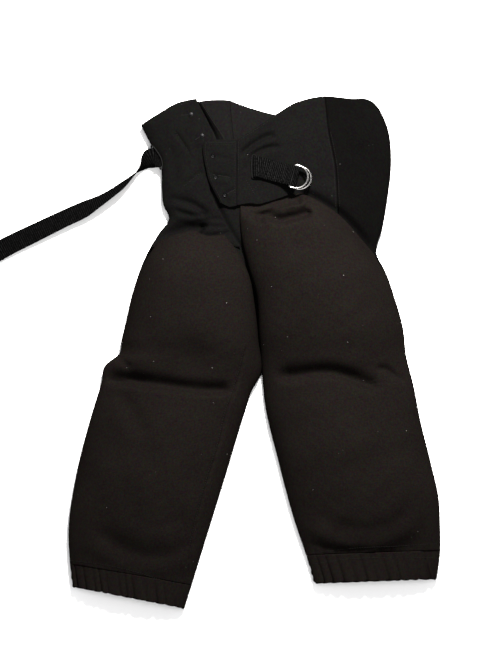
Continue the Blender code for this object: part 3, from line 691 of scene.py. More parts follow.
KNIT_LEG = knit("knit_leg", (0.00244, 0.002, 0.00178), (0.00318, 0.00259, 0.00229))
KNIT_WAIST = knit("knit_waist", (0.00163, 0.00159, 0.00155), (0.00207, 0.002, 0.00192))
# painted shade: the side panel's knit is a darker copy of the waist's, for the shade where that panel slopes away from
# the lamps
KNIT_SIDE_PAINTED_SHADE = knit("knit_side", (0.00096, 0.00093, 0.00089), (0.00126, 0.00118, 0.00115))
# painted light: the knit of the backs, the fly facing and the belt casing is a lighter copy, to offset the shade that
# falls deep inside the pants
KNIT_INSIDE_PAINTED_LIGHT = knit("knit_inside", (0.00244, 0.00229, 0.00229), (0.00289, 0.00274, 0.00266))
WEBBING = webbing("webbing", 0.00052, 2.3e-3)
WEBBING_TAIL = webbing("webbing_tail", 0.00037, 2.6e-3)
ELASTIC = webbing("elastic", 0.00592, 2.4e-3)
THREAD = thread("thread", (0.00296, 0.00281, 0.00266))
BINDING = thread("binding", (0.00148, 0.00148, 0.00148))
CHROME = metal("chrome", (0.24, 0.236, 0.228), 0.16)
SNAP_METAL = metal("snap_metal", (0.004, 0.004, 0.0042), 0.42)
FOAM_COVER = foam_cover("foam_cover")

# ---------------------------------------------------------------- floor, light and camera

# The camera looks down at AIM from nearly straight above, and the frame's height covers FRAME_HEIGHT there
AIM = (-9.2, 28.4, 10.0)
CAMERA_DISTANCE = 4200.0
CAMERA_TILT = math.radians(5.5)
FRAME_HEIGHT = 823.75
SENSOR = 36.0
FLOOR_REACH = 3000.0
WORLD_COLOUR = (0.95, 0.97, 1.0)
WORLD_STRENGTH = 0.6

# Lamps: name, place, the point each is aimed at, size in metres, power, spread in degrees, colour
LAMPS = (
    ("key", (230, 1000, 1250), (80, 110, 0), 0.22, 48.0, 92.0, (1.0, 0.965, 0.93)),
    ("fill", (100, -300, 1800), (0, 0, 0), 1.2, 21.0, 180.0, (1.0, 0.98, 0.96)),
)


def make_stage():
    corners = [(FLOOR_REACH * x, FLOOR_REACH * y, 0) for x, y in ((-1, -1), (1, -1), (1, 1), (-1, 1))]
    floor = mesh_object("floor", corners, [(0, 1, 2, 3)], plain_floor("floor"))
    floor.location.z = -FLOOR_GAP * MM
    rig.stage(floor)

    world = bpy.data.worlds.new("studio")
    bpy.context.scene.world = world
    world.use_nodes = True
    background = world.node_tree.nodes["Background"]
    background.inputs["Color"].default_value = rgba(WORLD_COLOUR)
    background.inputs["Strength"].default_value = WORLD_STRENGTH

    for name, place, target, size, power, spread, colour in LAMPS:
        lamp = bpy.data.lights.new(name, "AREA")
        lamp.size = size
        lamp.energy = power
        lamp.spread = math.radians(spread)
        lamp.color = colour
        holder = link(bpy.data.objects.new(name, lamp))
        holder.location = Vector(place) * MM
        holder.rotation_euler = (Vector(target) - Vector(place)).to_track_quat("-Z", "Y").to_euler()

    data = bpy.data.cameras.new("camera")
    data.sensor_width = SENSOR
    data.lens = SENSOR * CAMERA_DISTANCE / FRAME_HEIGHT
    data.clip_start = 0.01
    camera = link(bpy.data.objects.new("camera", data))
    away = Vector((0, -math.sin(CAMERA_TILT), math.cos(CAMERA_TILT))) * CAMERA_DISTANCE
    camera.location = (Vector(AIM) + away) * MM
    camera.rotation_euler = (CAMERA_TILT, 0, 0)
    bpy.context.scene.camera = camera
    bpy.context.scene.view_settings.view_transform = "Standard"


# ---------------------------------------------------------------- belt tail


TAIL_SECTIONS = 190


def make_tail():
    """The loose strap: one ribbed ribbon whose flat side turns as it falls to the floor."""
    places = np.array([point[:3] for point in TAIL_ROUTE], float)
    lengths = lengths_along(places[:, None, :], 0)[:, 0]
    at = smooth_curve([(length, *point) for length, point in zip(lengths, TAIL_ROUTE)])
    route = at(np.linspace(0, lengths[-1], TAIL_SECTIONS))
    line, turn = route[:, :3], route[:, 3]
    half_thick = WEB_THICKNESS / 2 * (1 - 0.55 * np.abs(ACROSS) ** 12)
    rows = []
    for k, point in enumerate(line):
        ahead = Vector(line[min(k + 1, len(line) - 1)] - line[max(k - 1, 0)]).normalized()
        side = ahead.cross(Vector((0, 0, 1))).normalized() if k else Vector((0, 1, 0))
        up = side.cross(ahead).normalized()
        angle = math.radians(turn[k])
        wide = side * math.cos(angle) + up * math.sin(angle)
        thin = ahead.cross(wide).normalized()
        selvedge = WEB_WIDTH / 2 + 0.12 * math.sin(2.1 * k)
        centres = point + ACROSS[:, None] * selvedge * np.array(wide)
        rounding = half_thick[:, None] * np.array(thin)
        rows.append(np.concatenate([centres + rounding, (centres - rounding)[::-1]]))
    obj = strap("belt_tail_webbing", np.stack(rows), line, WEBBING_TAIL)
    settle(obj, "pants", "webbing", "belt_tail")
    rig.cord(
        obj,
        exit=tuple(np.array(TAIL_ROUTE[0][:3]) * MM),
        length=round(float(lengths_along(line[:, None, :], 0)[-1, 0]) * MM, 3),
        diameter=WEB_WIDTH * MM,
        far_end="bare",
        stiffness="limp",
        lay="loose",
        path=[tuple(point * MM) for point in line],
    )


# ---------------------------------------------------------------- legs

LEG_COLUMNS = 121
ROW_SPACING = 1.6
BACK_ROWS = 150
BACK_COLUMNS = 61
HIP_ROLL = 5.0

# A front's section rises as a flattened arch, and a back's turns up over a narrow zone at each edge
EDGE_POWER = 2.4
RISE_POWER = 0.55
TURN_ZONE = 0.09


def arched(u):
    """Rise of a front's section from 0 at its edges, u = -1 and 1, to 1 in the middle."""
    return (1 - np.abs(u) ** EDGE_POWER).clip(0) ** RISE_POWER


def turned_up(u):
    """Rise of a back's section from 0 over its middle to 1 at its edges."""
    return np.clip((np.abs(u) - 1 + TURN_ZONE) / TURN_ZONE, 0, 1) ** 2


class Leg:
    """The measures of one leg: its rows from cuff to hip, and its two edges seen from above."""

    def __init__(self, side, rows, outer, inner):
        self.side = side
        self.is_right = side == "right"
        self.body = f"{side}_lower_leg"
        self.knee = KNEE_Y[side]
        self.outer = outer
        self.inner = inner
        middles = [(row[0] + row[1]) / 2 for row in rows]
        self.length = middles[-1] - middles[0]
        self.rows = smooth_curve([(m - middles[0], *row) for m, row in zip(middles, rows)])

    def inward(self, u):
        """Share of the way from the outer edge to the inner one."""
        return (u + 1) / 2 if self.is_right else (1 - u) / 2

    def along(self, y):
        """Where a row lies along the leg, from the y of its middle."""
        where = np.linspace(0, self.length, 200)
        middles = self.rows(where)[:, :2].mean(axis=1)
        return float(np.interp(y, middles, where))

    def grid(self, u, along):
        """Points of the plain front surface; u runs from -1 at the viewer's left edge to 1."""
        y_outer, y_inner, crown, arch = np.moveaxis(self.rows(along), -1, 0)
        x_outer, x_inner = self.outer(y_outer), self.inner(y_inner)
        inward = self.inward(u)
        x = x_outer + (x_inner - x_outer) * inward
        y = y_outer + (y_inner - y_outer) * inward + arch * (1 - u**2)
        inner_edge = np.maximum(SEAM_Z, valley(y_inner))
        edge = SEAM_Z + (inner_edge - SEAM_Z) * smoothstep(0.35, 1, inward)
        return np.stack([x, y, edge + (crown - edge) * arched(u)], axis=-1)


RIGHT_LEG = Leg("right", RIGHT_ROWS, right_outer, right_inner)
LEFT_LEG = Leg("left", LEFT_ROWS, left_outer, left_inner)


# Where the cloth of each thigh ends in a fold against the waist, as (x, y)
RIGHT_HIP_FOLD = (
    (-127, 137.5), (-116, 141.5), (-103, 146), (-91, 149), (-81, 151.4), (-71, 151.4), (-65, 148),
    (-58, 146), (-47, 146.5), (-34, 148.5),
)
LEFT_HIP_FOLD = (
    (-18, 200), (8, 205), (38, 204), (59.6, 198), (72, 193.5), (88.3, 184.5), (107, 171.5), (122, 157),
    (135.2, 142), (154.6, 121),
)


# The seam down the front of the right leg, near its inner edge
RIGHT_INSEAM = (
    (-9, 9), (-18, -28.5), (-25, -50), (-33, -72), (-42, -110), (-62, -176), (-78, -242), (-80, -295),
)


# Folds as fold takes them: path, depth, width on its left, width on its right, taper, ridge
RIGHT_LEG_FOLDS = (
    # Across the knee
    (
        [(-192, -35), (-158, -36.9), (-137, -40), (-116, -43.1), (-96, -46.1), (-75, -48.2),
         (-54, -49.5), (-34, -48.5), (-22, -46.5)],
        12.5, 9.5, 6.0, 0.12,
    ),
    ([(-188, -36), (-168, -39), (-147, -44), (-129, -47), (-112, -48)], 3.0, 2.2, 3.2, 0.25),
    ([(-174, -3), (-168, -9), (-158, -18), (-150, -24)], 3.5, 4, 5, 0.3),
    # Down the shin and over the cuff
    ([(-170.4, -45), (-152, -75), (-130.4, -112)], 2.8, 10, 12, TAPER, (1.0, 20, 12)),
    ([(-205, -216), (-178, -236), (-130, -254), (-87, -243), (-74, -226)], 3.4, 13, 9, TAPER, (1.0, 20, 8)),
    ([(-160, -206), (-115, -216), (-76, -204)], 1.4, 13, 13),
    ([(-62, -50), (-46, -85), (-52, -130)], 1.6, 8, 10),
    # On the thigh
    ([(-150, 60), (-110, 66), (-70, 58)], 0.9, 20, 20),
    ([(-60, 140), (-40, 118), (-28, 92)], 1.8, 6, 7),
    # The seam's own groove
    (RIGHT_INSEAM, 3.4, 1.7, 1.7, 0.04),
)

LEFT_LEG_FOLDS = (
    # Across the knee
    (
        [(22, -37.5), (34, -33), (56, -31), (78, -28), (95, -28.3), (110, -31.5), (128, -38),
         (143, -43.5), (162, -47.5)],
        12.0, 10.0, 6.5, 0.16,
    ),
    ([(44, -47), (53, -41), (64, -36.5), (84, -34)], 1.8, 2.5, 4, 0.3),
    ([(146, -23.5), (163, -23.5), (174, -30.5), (193, -41)], 4.5, 4.5, 4.5, 0.3),
    # Over the cuff
    ([(56, -212), (84, -230), (113, -240), (170, -236), (206, -210)], -2.6, 9, 8, TAPER, (-1.8, 17, 9)),
    ([(70, -198), (113, -219), (168, -215), (200, -192)], 1.8, 8, 8),
    ([(62, -238), (100, -247), (150, -246)], 1.6, 4, 3),
    # At the top of the thigh, under the hem of the hip front
    (
        [(3, 155), (7, 164), (17.5, 168.4), (24.5, 164.5), (33, 162), (44, 164), (58, 168), (74, 174)],
        14.0, 8.0, 5.0, 0.12, (1.0, 9, 6),
    ),
    ([(22, 176), (40, 178.5), (64, 184)], -1.8, 2.4, 2.4, 0.3),
    ([(30, 170.5), (48, 173), (68, 178.5)], -1.3, 2.0, 2.0, 0.3),
    ([(-20, 171), (-5, 172.5), (5, 171.5), (16, 174), (33, 180), (48, 185), (62, 184)], 11.0, 8.0, 4.5, 0.1),
    ([(2, 173), (20, 176), (40, 179.5), (70, 184)], -5.0, 4.5, 4.0),
    # Beside the crotch, and low on the thigh
    ([(-19, 184), (-18, 169), (-14, 131.5)], 3.0, 4, 4),
    ([(-8, 151), (2, 163), (13, 181)], -0.8, 1.6, 1.6),
    ([(30, 120), (80, 128), (130, 118)], 1.0, 22, 22),
)


def tucked_under_hem(x, y):
    """How far the left leg sinks where it passes under the hem of the left hip front."""
    hem = np.interp(x, [-22, -5, 5, 16, 33, 50, 62], [177, 179.5, 178.5, 181, 187, 193, 197])
    return -8.0 * smoothstep(-4, 2, y - hem) * smoothstep(60, 46, x)


class Gathers:
    """Uneven pleats round a cuff: round lobes with narrow notches between them."""

    def __init__(self, seed):
        rng = np.random.default_rng(seed)
        self.notches = np.concatenate([[0.0], np.cumsum(rng.uniform(7.0, 17.0, 60))])
        self.depths = rng.uniform(0.35, 1.0, 61)

    def __call__(self, phase):
        """From 0 on a lobe to 1 in a deep notch."""
        k = np.clip(np.searchsorted(self.notches, phase, side="right") - 1, 0, len(self.notches) - 2)
        t = (phase - self.notches[k]) / (self.notches[k + 1] - self.notches[k])
        edge = np.abs(2 * t - 1)
        depth = np.where(t < 0.5, self.depths[k], self.depths[k + 1])
        return depth * edge**2.6


GATHERS = {"right": Gathers(11), "left": Gathers(14)}


def leg_front_points(leg):
    rows = int(round(leg.length / ROW_SPACING)) + 1
    angle = np.linspace(-math.pi / 2, math.pi / 2, LEG_COLUMNS)
    u, along = np.meshgrid(np.sin(angle), np.linspace(0, leg.length, rows))
    points = leg.grid(u, along)

    # The hip end follows the fold against the waist
    contour = smooth_curve(RIGHT_HIP_FOLD if leg.is_right else LEFT_HIP_FOLD)
    to_contour = contour(points[-1, :, 0]) - HIP_ROLL - points[-1, :, 1]
    points[..., 1] += to_contour * smoothstep(leg.length - 70, leg.length, along)

    x, y = points[..., 0].copy(), points[..., 1].copy()
    bulk = (1 - np.abs(u) ** 6).clip(0)
    folds = folded(x, y, RIGHT_LEG_FOLDS if leg.is_right else LEFT_LEG_FOLDS)
    seed = 3 if leg.is_right else 8
    wobble = 1.3 * ripple(x, y, 95, seed) + 0.55 * ripple(x, y, 38, seed + 1)
    wobble += 0.15 * ripple(x, y, 15, seed + 2)
    points[..., 2] += bulk * (folds + wobble * smoothstep(0, 25, leg.length - along))
    if not leg.is_right:
        points[..., 2] += tucked_under_hem(x, y) * (1 - np.abs(u) ** 12)

    # Gathers of the cuff die out up the leg
    bottom = np.broadcast_to(lengths_along(points[:1], 1), u.shape)
    points[..., 2] -= 1.6 * GATHERS[leg.side](bottom) * np.exp(-along / 13.0) * bulk
    return points


def with_inner_wall(leg, points):
    """Adds columns down the leg's inner side: to the floor above the crotch, a narrow hem below it."""
    inner = points[:, -1] if leg.is_right else points[:, 0]
    inward = -1.0 if leg.is_right else 1.0
    low = 2.2 + (SEAM_Z - 1.2 - 2.2) * smoothstep(-30, -46, inner[:, 1])
    wall = []
    for t in np.linspace(0, 1, 9)[1:]:
        column = inner.copy()
        column[:, 2] = inner[:, 2] + (low - inner[:, 2]) * t
        column[:, 0] += inward * (1.4 * math.sin(math.pi / 2 * t))
        wall.append(column)
    wall = np.stack(wall, axis=1)
    if leg.is_right:
        return np.concatenate([points, wall], axis=1)
    return np.concatenate([wall[:, ::-1], points], axis=1)


def with_hip_roll(points):
    """Rolls the hip end of the leg over and under, where the waist's cloth passes beneath it."""
    last = points[-1]
    ahead = last - points[-4]
    ahead[:, 2] = 0
    ahead /= np.linalg.norm(ahead, axis=1)[:, None]
    reach = np.minimum(HIP_ROLL, (last[:, 2] - 2.0) / 2)[:, None]
    drop = np.minimum(11.0, (last[:, 2] - 2.0) / 2)
    rows = []
    for k in range(1, 17):
        angle = math.radians(9.5 * k)
        row = last + ahead * reach * math.sin(angle)
        row[:, 2] -= drop * (1 - math.cos(angle))
        rows.append(row)
    return np.concatenate([points, np.stack(rows)], axis=0)


def leg_fade(leg):
    """Where the blend of the leg's cloth over the knee fold begins and ends."""
    middle = (leg.outer(leg.knee) + leg.inner(leg.knee)) / 2
    start = (middle * MM, (leg.knee + KNEE_REACH) * MM, 0.03)
    end = (middle * MM, (leg.knee - KNEE_REACH) * MM, 0.03)
    return start, end


def make_leg_front(leg):
    shown = leg_front_points(leg)
    points = with_hip_roll(with_inner_wall(leg, shown))
    obj = cloth_grid(f"{leg.side}_leg_front", points, KNIT_LEG)
    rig.replaces(obj, f"{leg.side}_thigh_front", f"{leg.side}_shin_front")
    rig.slot(obj, "knit")
    start, end = leg_fade(leg)
    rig.blend(obj, "pants", leg.body, start=start, end=end)
    declare_cloth(obj, points, "laid", [f"{leg.side}_thigh_foam", f"{leg.side}_shin_foam"])
    return Surface(shown)


def back_grid(leg):
    """The back of one leg and half of the seat: flat on the floor, turned up to the side seams."""
    top_outer, top_inner, top_arch = (286, 319.5, 11) if leg.is_right else (305, 319.5, -17)
    y_outer_low, y_inner_low = leg.rows(np.array(0.0))[:2]
    t = np.linspace(0, 1, BACK_ROWS)[:, None]
    u = np.sin(np.linspace(-math.pi / 2, math.pi / 2, BACK_COLUMNS))[None, :]
    y_outer = y_outer_low + (top_outer - y_outer_low) * t
    y_inner = y_inner_low + (top_inner - y_inner_low) * t
    x_inner = np.where(y_inner < -30, leg.inner(y_inner), centre_back(y_inner))
    x_outer = leg.outer(y_outer)
    inward = leg.inward(u)
    x = x_outer + (x_inner - x_outer) * inward
    y = y_outer + (y_inner - y_outer) * inward + top_arch * t**6 * (1 - u**2)
    inner_edge = 0.9 + (SEAM_Z - 0.9) * smoothstep(-28, -48, y_inner)
    edge = np.where(inward > 0.5, inner_edge, SEAM_Z)
    lie = 0.8 * (1 + ripple(x, y, 70, 21)).clip(0) * smoothstep(150, 220, y)
    return np.stack([x, y, FLOOR_LIFT + lie + (edge - FLOOR_LIFT) * turned_up(u)], axis=-1)


def make_leg_back(leg):
    points = back_grid(leg)
    obj = cloth_grid(f"{leg.side}_leg_back", points, KNIT_INSIDE_PAINTED_LIGHT, faces_up=False)
    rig.replaces(obj, f"{leg.side}_seat_back", f"{leg.side}_shin_back")
    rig.slot(obj, "knit")
    start, end = leg_fade(leg)
    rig.blend(obj, "pants", leg.body, start=start, end=end)
    declare_cloth(obj, points, "laid", ["floor"])


# ---------------------------------------------------------------- tubes and stitches


def tube_parts(line, radii, sides, closed, up):
    """Points and faces of a round tube along a line, which never runs along up."""
    line = np.asarray(line, float)
    if closed:
        ahead = np.roll(line, -1, axis=0) - np.roll(line, 1, axis=0)
    else:
        ahead = np.gradient(line, axis=0)
    ahead /= np.linalg.norm(ahead, axis=1)[:, None]
    side = np.cross(ahead, up)
    side /= np.linalg.norm(side, axis=1)[:, None]
    top = np.cross(side, ahead)
    angles = 2 * math.pi * np.arange(sides) / sides
    radii = np.broadcast_to(np.asarray(radii, float), (len(line),))[:, None, None]
    around = side[:, None] * np.cos(angles)[None, :, None] + top[:, None] * np.sin(angles)[None, :, None]
    points = (line[:, None] + radii * around).reshape(-1, 3)
    faces = grid_faces(len(line), sides, True, True)
    count = len(line) * sides
    if closed:
        last = count - sides
        for j in range(sides):
            k = (j + 1) % sides
            faces.append((last + j, last + k, k, j))
    else:
        faces.append(tuple(range(sides))[::-1])
        faces.append(tuple(range(count - sides, count)))
    return points, faces


def tube(name, line, radius, material, sides, up=(0, 0, 1)):
    """A closed loop of round wire or cord."""
    points, faces = tube_parts(line, radius, sides, True, up)
    return mesh_object(name, points, faces, material)


class Stitches:
    """Short raised stitches, gathered in one mesh."""

    PITCH = 3.0
    SHARE = 0.74
    RADIUS = 0.27
    TACK_PITCH = 0.62
    TACK_RADIUS = 0.3
    TACK_WIDTH = 1.2

    def __init__(self):
        self.points = []
        self.faces = []
        self.count = 0

    def add(self, start, end, normal, radius):
        t = np.linspace(0, 1, 5)[:, None]
        lift = radius * (0.1 + 0.9 * np.sin(math.pi * t))
        line = start + (end - start) * t + lift * np.asarray(normal)
        radii = radius * np.array([0.35, 0.85, 1.0, 0.85, 0.35])
        points, faces = tube_parts(line, radii, 6, False, tuple(normal))
        self.points.append(points)
        self.faces += [tuple(k + self.count for k in face) for face in faces]
        self.count += len(points)

    def row(self, surface, path):
        """A seam's stitches along an (x, y) path laid on a surface."""
        places, normals = surface.lay(path, self.PITCH)
        for a, b, normal in zip(places[:-1], places[1:], normals):
            if np.linalg.norm(b - a) < 2 * self.PITCH:
                self.add(a, a + (b - a) * self.SHARE, normal, self.RADIUS)

    def tack(self, surface, start, end):
        """A bar tack: close stitches across a short line."""
        places, normals = surface.lay([start, end], self.TACK_PITCH)
        way = np.array([end[0] - start[0], end[1] - start[1], 0.0])
        across = np.cross((0, 0, 1), way / np.linalg.norm(way))
        for k, (place, normal) in enumerate(zip(places, normals)):
            reach = across * self.TACK_WIDTH / 2 * (1 if k % 2 else -1)
            self.add(place - reach, place + reach, normal, self.TACK_RADIUS)

    def build(self, name):
        obj = mesh_object(name, np.concatenate(self.points), self.faces, THREAD)
        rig.slot(obj, "binding")
        return obj


# ---------------------------------------------------------------- waist

RIGHT_HEM = ((-130, 131), (-82, 144), (-64, 142), (-54, 136), (-33, 132), (-22, 130))
RIGHT_TOP = ((-143, 286), (-121, 299), (-97, 312), (-73, 317.5), (-50, 319))
LEFT_HEM = (
    (-22, 182), (-5, 184.3), (5, 183.3), (16, 186), (33, 191.6), (46, 196), (60, 190), (88, 176), (104, 168),
)
LEFT_TOP = ((-22, 264), (5, 282), (30, 299), (50, 311.5), (70, 318), (88, 321))
SIDE_HEM = ((100, 170), (113, 158), (135, 132), (154, 114), (165, 112))
SIDE_TOP = ((88, 321), (118, 318), (151, 313), (158, 306), (166, 300))
FLAP_SEAM_X = -22.0
FLAP_THICKNESS = 1.8
FACING_LAP = 6.0


RIGHT_YOKE_FOLDS = (
    # Where the thigh's cloth meets the waist
    (
        [(-132, 137), (-116, 145), (-103, 150), (-91, 153), (-81, 155), (-70, 155), (-62, 149)],
        16.0, 10.5, 9, 0.1,
    ),
    ([(-66, 146), (-52, 145), (-36, 148), (-24, 150)], 3.0, 2.4, 6, 0.1),
    # Drag lines over the hip
    (
        [(-118, 184), (-103, 191.5), (-91, 189), (-78, 185), (-67, 178.5), (-57, 171)],
        4.2, 4.2, 5.5, TAPER, (1.6, 9, 5),
    ),
    (
        [(-104, 179.5), (-89, 173.5), (-77, 170.5), (-64, 171), (-52, 174.5)],
        4.0, 4.0, 3.0, TAPER, (1.4, 7, 4),
    ),
    ([(-76, 163), (-53, 165.5), (-38, 164)], 2.4, 2.8, 2.4),
    ([(-72, 158), (-48, 155.5), (-33, 154.5)], 2.4, 2.8, 2.4),
    # Soft dents up the waist, and grooves beside its stitching
    ([(-112, 262), (-100, 235), (-106, 205)], 1.8, 7, 9, TAPER, (0.8, 13, 7)),
    ([(-101, 279), (-90, 262), (-80, 247)], 2.4, 2.6, 3.2),
    ([(-64, 227), (-78, 216), (-93, 203)], 2.4, 2.6, 3.4),
    ([(-70, 262), (-72, 236), (-62, 212)], 1.5, 6, 6),
)

LEFT_YOKE_FOLDS = (
    # Where the cloth comes down over the thigh
    (
        [(46, 203), (60, 198), (72, 193.5), (88, 184.5), (107, 171.5), (122, 157), (135, 142), (156, 119)],
        8.0, 6.5, 13, 0.14,
    ),
    # Two creases between the flap and the tab
    ([(-19, 243), (-8, 254), (4, 263), (16, 269), (30, 271)], 4.6, 4.0, 3.6, TAPER, (1.4, 9, 6)),
    ([(-9, 240), (3, 249), (18, 255), (36, 256)], 4.2, 3.6, 3.2, TAPER, (1.2, 8, 5)),
    # Soft dents
    ([(-16, 226), (-6, 233), (-3, 246)], 1.4, 4, 4),
    ([(60, 208), (84, 217), (112, 207)], 1.3, 10, 10),
    ([(120, 180), (134, 220), (126, 262)], 1.6, 12, 12),
    ([(150, 240), (162, 205), (152, 165)], 1.8, 5, 5),
)


def across_waist(x, y):
    """Place across the waist, from -1 at its right edge to 1 at its left edge."""
    low, high = right_outer(y), left_outer(y)
    return np.clip(2 * (x - low) / (high - low) - 1, -1, 1)


def waist_height(x, y):
    """Height of the waist's plain surface, a flat-topped oval from side to side."""
    return SEAM_Z + (WAIST_CROWN - SEAM_Z) * np.sqrt(1 - across_waist(x, y) ** 4)


def lapped_height(x, y):
    """The same where the left front laps over the right one."""
    return waist_height(x, y) + FLAP_LIFT * smoothstep(70, -10, x)


def edge_share(x, y):
    """1 over most of the waist and 0 at its side edges, to keep folds off the seams."""
    return 1 - np.abs(across_waist(x, y)) ** 8


def right_yoke_height(x, y):
    dz = folded(x, y, RIGHT_YOKE_FOLDS) + (1.1 * ripple(x, y, 60, 31) + 0.4 * ripple(x, y, 22, 32))
    return waist_height(x, y) + dz * edge_share(x, y)


def left_yoke_height(x, y):
    dz = folded(x, y, LEFT_YOKE_FOLDS)
    dz -= 0.8 * np.exp(-(((x - side_seam(y)) / 1.2) ** 2))
    dz += 1.0 * ripple(x, y, 75, 35) + 0.3 * ripple(x, y, 24, 36)
    beside_flap = smoothstep(FLAP_SEAM_X - 0.5, FLAP_SEAM_X + 6, x)
    return lapped_height(x, y) + dz * edge_share(x, y) * beside_flap - 0.5 * (1 - beside_flap)


def level(value):
    """An edge that keeps one x or y all along."""
    return lambda where: np.full(np.shape(where), value)


def patch(left, right, low, high, columns, rows, height):
    """A grid between four edges: left and right give x from y, low and high give y from x."""
    s, t = np.meshgrid(columns, rows)
    x, y = np.full(s.shape, float(left(200.0))), np.full(s.shape, 200.0)
    for _ in range(40):
        x = left(y) * (1 - s) + right(y) * s
        y = low(x) * (1 - t) + high(x) * t
    return np.stack([x, y, height(x, y)], axis=-1)


def cloth_panel(name, points, material, node, held="stretched", thickness=CLOTH, body="pants"):
    obj = cloth_grid(name, points, material, thickness)
    settle(obj, body, "knit", node)
    declare_cloth(obj, points, held)
    return Surface(points)


def crotch_height(x, y):
    near_edge = np.exp(-(((x - fly_line(y)) / 5.0) ** 2))
    return 27.0 - 4.0 * near_edge - 6.0 * smoothstep(118, 84, y) + 0.8 * ripple(x, y, 30, 41)


def facing_height(x, y):
    start, end = fly_line(y) - FACING_LAP, facing_ridge(y)
    s = np.clip((x - start) / (end - start), 0, 1)
    drop = np.interp(s, [0, 0.2, 0.4, 0.6, 0.82, 1.0], [-3.2, -7.5, -11.0, -6.0, -2.6, -9.0])
    return waist_height(x, y) + drop + 0.5 * ripple(x, y, 25, 43)


def make_waist():
    """The waist's panels. Returns the surfaces that stitches and studs lie on."""
    rows = np.linspace(0, 1, 90)
    right = patch(
        right_outer,
        fly_line,
        smooth_curve(RIGHT_HEM),
        smooth_curve(RIGHT_TOP),
        1 - np.cos(np.linspace(0, math.pi / 2, 64)),
        rows,
        right_yoke_height,
    )
    left = patch(
        level(FLAP_SEAM_X + 0.1),
        side_seam,
        smooth_curve(LEFT_HEM),
        smooth_curve(LEFT_TOP),
        np.linspace(0, 1, 72),
        rows,
        left_yoke_height,
    )
    side = patch(
        side_seam,
        left_outer,
        smooth_curve(SIDE_HEM),
        smooth_curve(SIDE_TOP),
        np.sin(np.linspace(0, math.pi / 2, 48)),
        rows,
        left_yoke_height,
    )
    crotch = patch(
        lambda y: np.interp(y, [84, 112, 145, 171, 205], [-15, -24, -42, -47, -62]),
        lambda y: np.interp(y, [84, 118, 160, 205], [2.0, -4.0, -10.0, -13.0]),
        level(84.0),
        level(205.0),
        np.linspace(0, 1, 30),
        np.linspace(0, 1, 50),
        crotch_height,
    )
    facing = patch(
        lambda y: fly_line(y) - FACING_LAP,
        facing_ridge,
        level(192.0),
        lambda x: 313.0 - 0.12 * (x + 65.0),
        np.linspace(0, 1, 36),
        np.linspace(0, 1, 70),
        facing_height,
    )
    surfaces = {
        "right": cloth_panel("right_hip_cloth", right, KNIT_WAIST, "right_hip_front"),
        "left": cloth_panel("left_hip_cloth", left, KNIT_WAIST, "left_hip_front"),
        "side": cloth_panel("left_side_cloth", side, KNIT_SIDE_PAINTED_SHADE, "left_hip_side"),
    }
    cloth_panel("crotch_cloth", crotch, KNIT_WAIST, "front_crotch_panel")
    cloth_panel("placket_cloth", facing, KNIT_INSIDE_PAINTED_LIGHT, "placket_facing", thickness=HEM_CLOTH)
    return surfaces


FLAP_FOLDS = (
    ([(-55, 221), (-42, 219), (-28, 216.5)], 1.6, 3.0, 2.2, TAPER, (0.7, 6, 4)),
    ([(-38, 196), (-31, 199), (-23, 203)], 1.6, 3.0, 2.2, TAPER, (0.7, 6, 4)),
    ([(-58, 249), (-46, 243), (-27, 241)], 1.0, 3.5, 3.5),
)


def flap_height(x, y):
    """Height of the fly flap: folds that die out at its hinge seam, and a soft free edge that droops."""
    free = np.clip((FLAP_SEAM_X - x) / (FLAP_SEAM_X - flap_edge(y)), 0, 1)
    droop = 1.3 * smoothstep(0.88, 1.0, free) + 1.0 * smoothstep(259, 265, y)
    dz = folded(x, y, FLAP_FOLDS)
    dz += 0.5 * ripple(x, y, 40, 51) + 0.9 * np.exp(-(((y - 232) / 16) ** 2)) * free
    dz *= smoothstep(0, 5, FLAP_SEAM_X - x)
    return waist_height(x, y) + FLAP_LIFT + dz - droop


def make_flap():
    """The fly flap, hinged on its seam."""
    points = patch(
        flap_edge,
        level(FLAP_SEAM_X - 0.1),
        smooth_curve(((-64, 200), (-40, 183), (-33, 180), (-22, 181.3))),
        level(265.0),
        np.linspace(0, 1, 44),
        np.linspace(0, 1, 80),
        flap_height,
    )
    return cloth_panel(
        "fly_flap_cloth", points, KNIT_WAIST, "fly_flap", held="laid", thickness=FLAP_THICKNESS, body="fly"
    )


# ---------------------------------------------------------------- belt inside the waist, and slots


BELT_FLOOR = 3.4
BELT_INSET = 3.8
BELT_BEND_X = 139.0
BELT_FLAT_X = -94.0


def make_belt():
    """The belt from the tab's slot over the left side and along the back to the tail's slot."""
    front = np.linspace(TAB_SLOT[0] + 4, BELT_BEND_X - 12, 50)
    heights = waist_height(front, np.full(front.shape, TAB_SLOT[1])) - BELT_INSET
    radius = (heights[-1] - 1.0 - BELT_FLOOR) / 2
    angles = np.radians(np.linspace(90, -90, 25))
    side_x = BELT_BEND_X + 1.2 * radius * np.cos(angles)
    side_z = BELT_FLOOR + radius + radius * np.sin(angles)
    back = np.linspace(BELT_BEND_X, BELT_FLAT_X, 80)[1:]
    tail_y = TAIL_ROUTE[0][1]
    x = np.concatenate([front, side_x, back, [-101, -107, -112]])
    y_back = TAB_SLOT[1] + (tail_y - TAB_SLOT[1]) * (BELT_BEND_X - back) / (BELT_BEND_X - BELT_FLAT_X)
    y = np.concatenate([np.full(len(front) + len(side_x), TAB_SLOT[1]), y_back, np.full(3, tail_y)])
    z = np.concatenate([heights, side_z, np.full(len(back), BELT_FLOOR), [4.4, 7.4, 11.0]])
    centres = np.stack([x, y, z], axis=-1)
    wide = np.array([0.0, 1.0, 0.0])
    thin = np.cross(np.gradient(centres, axis=0), wide)
    thin /= np.linalg.norm(thin, axis=1)[:, None]
    middles = centres[:, None] + (ACROSS * WEB_WIDTH / 2)[None, :, None] * wide
    rounding = HALF_THICK[None, :, None] * thin[:, None]
    sections = np.concatenate([middles + rounding, (middles - rounding)[:, ::-1]], axis=1)
    settle(strap("belt_webbing", sections, centres, WEBBING), "pants", "webbing", "inner_belt")


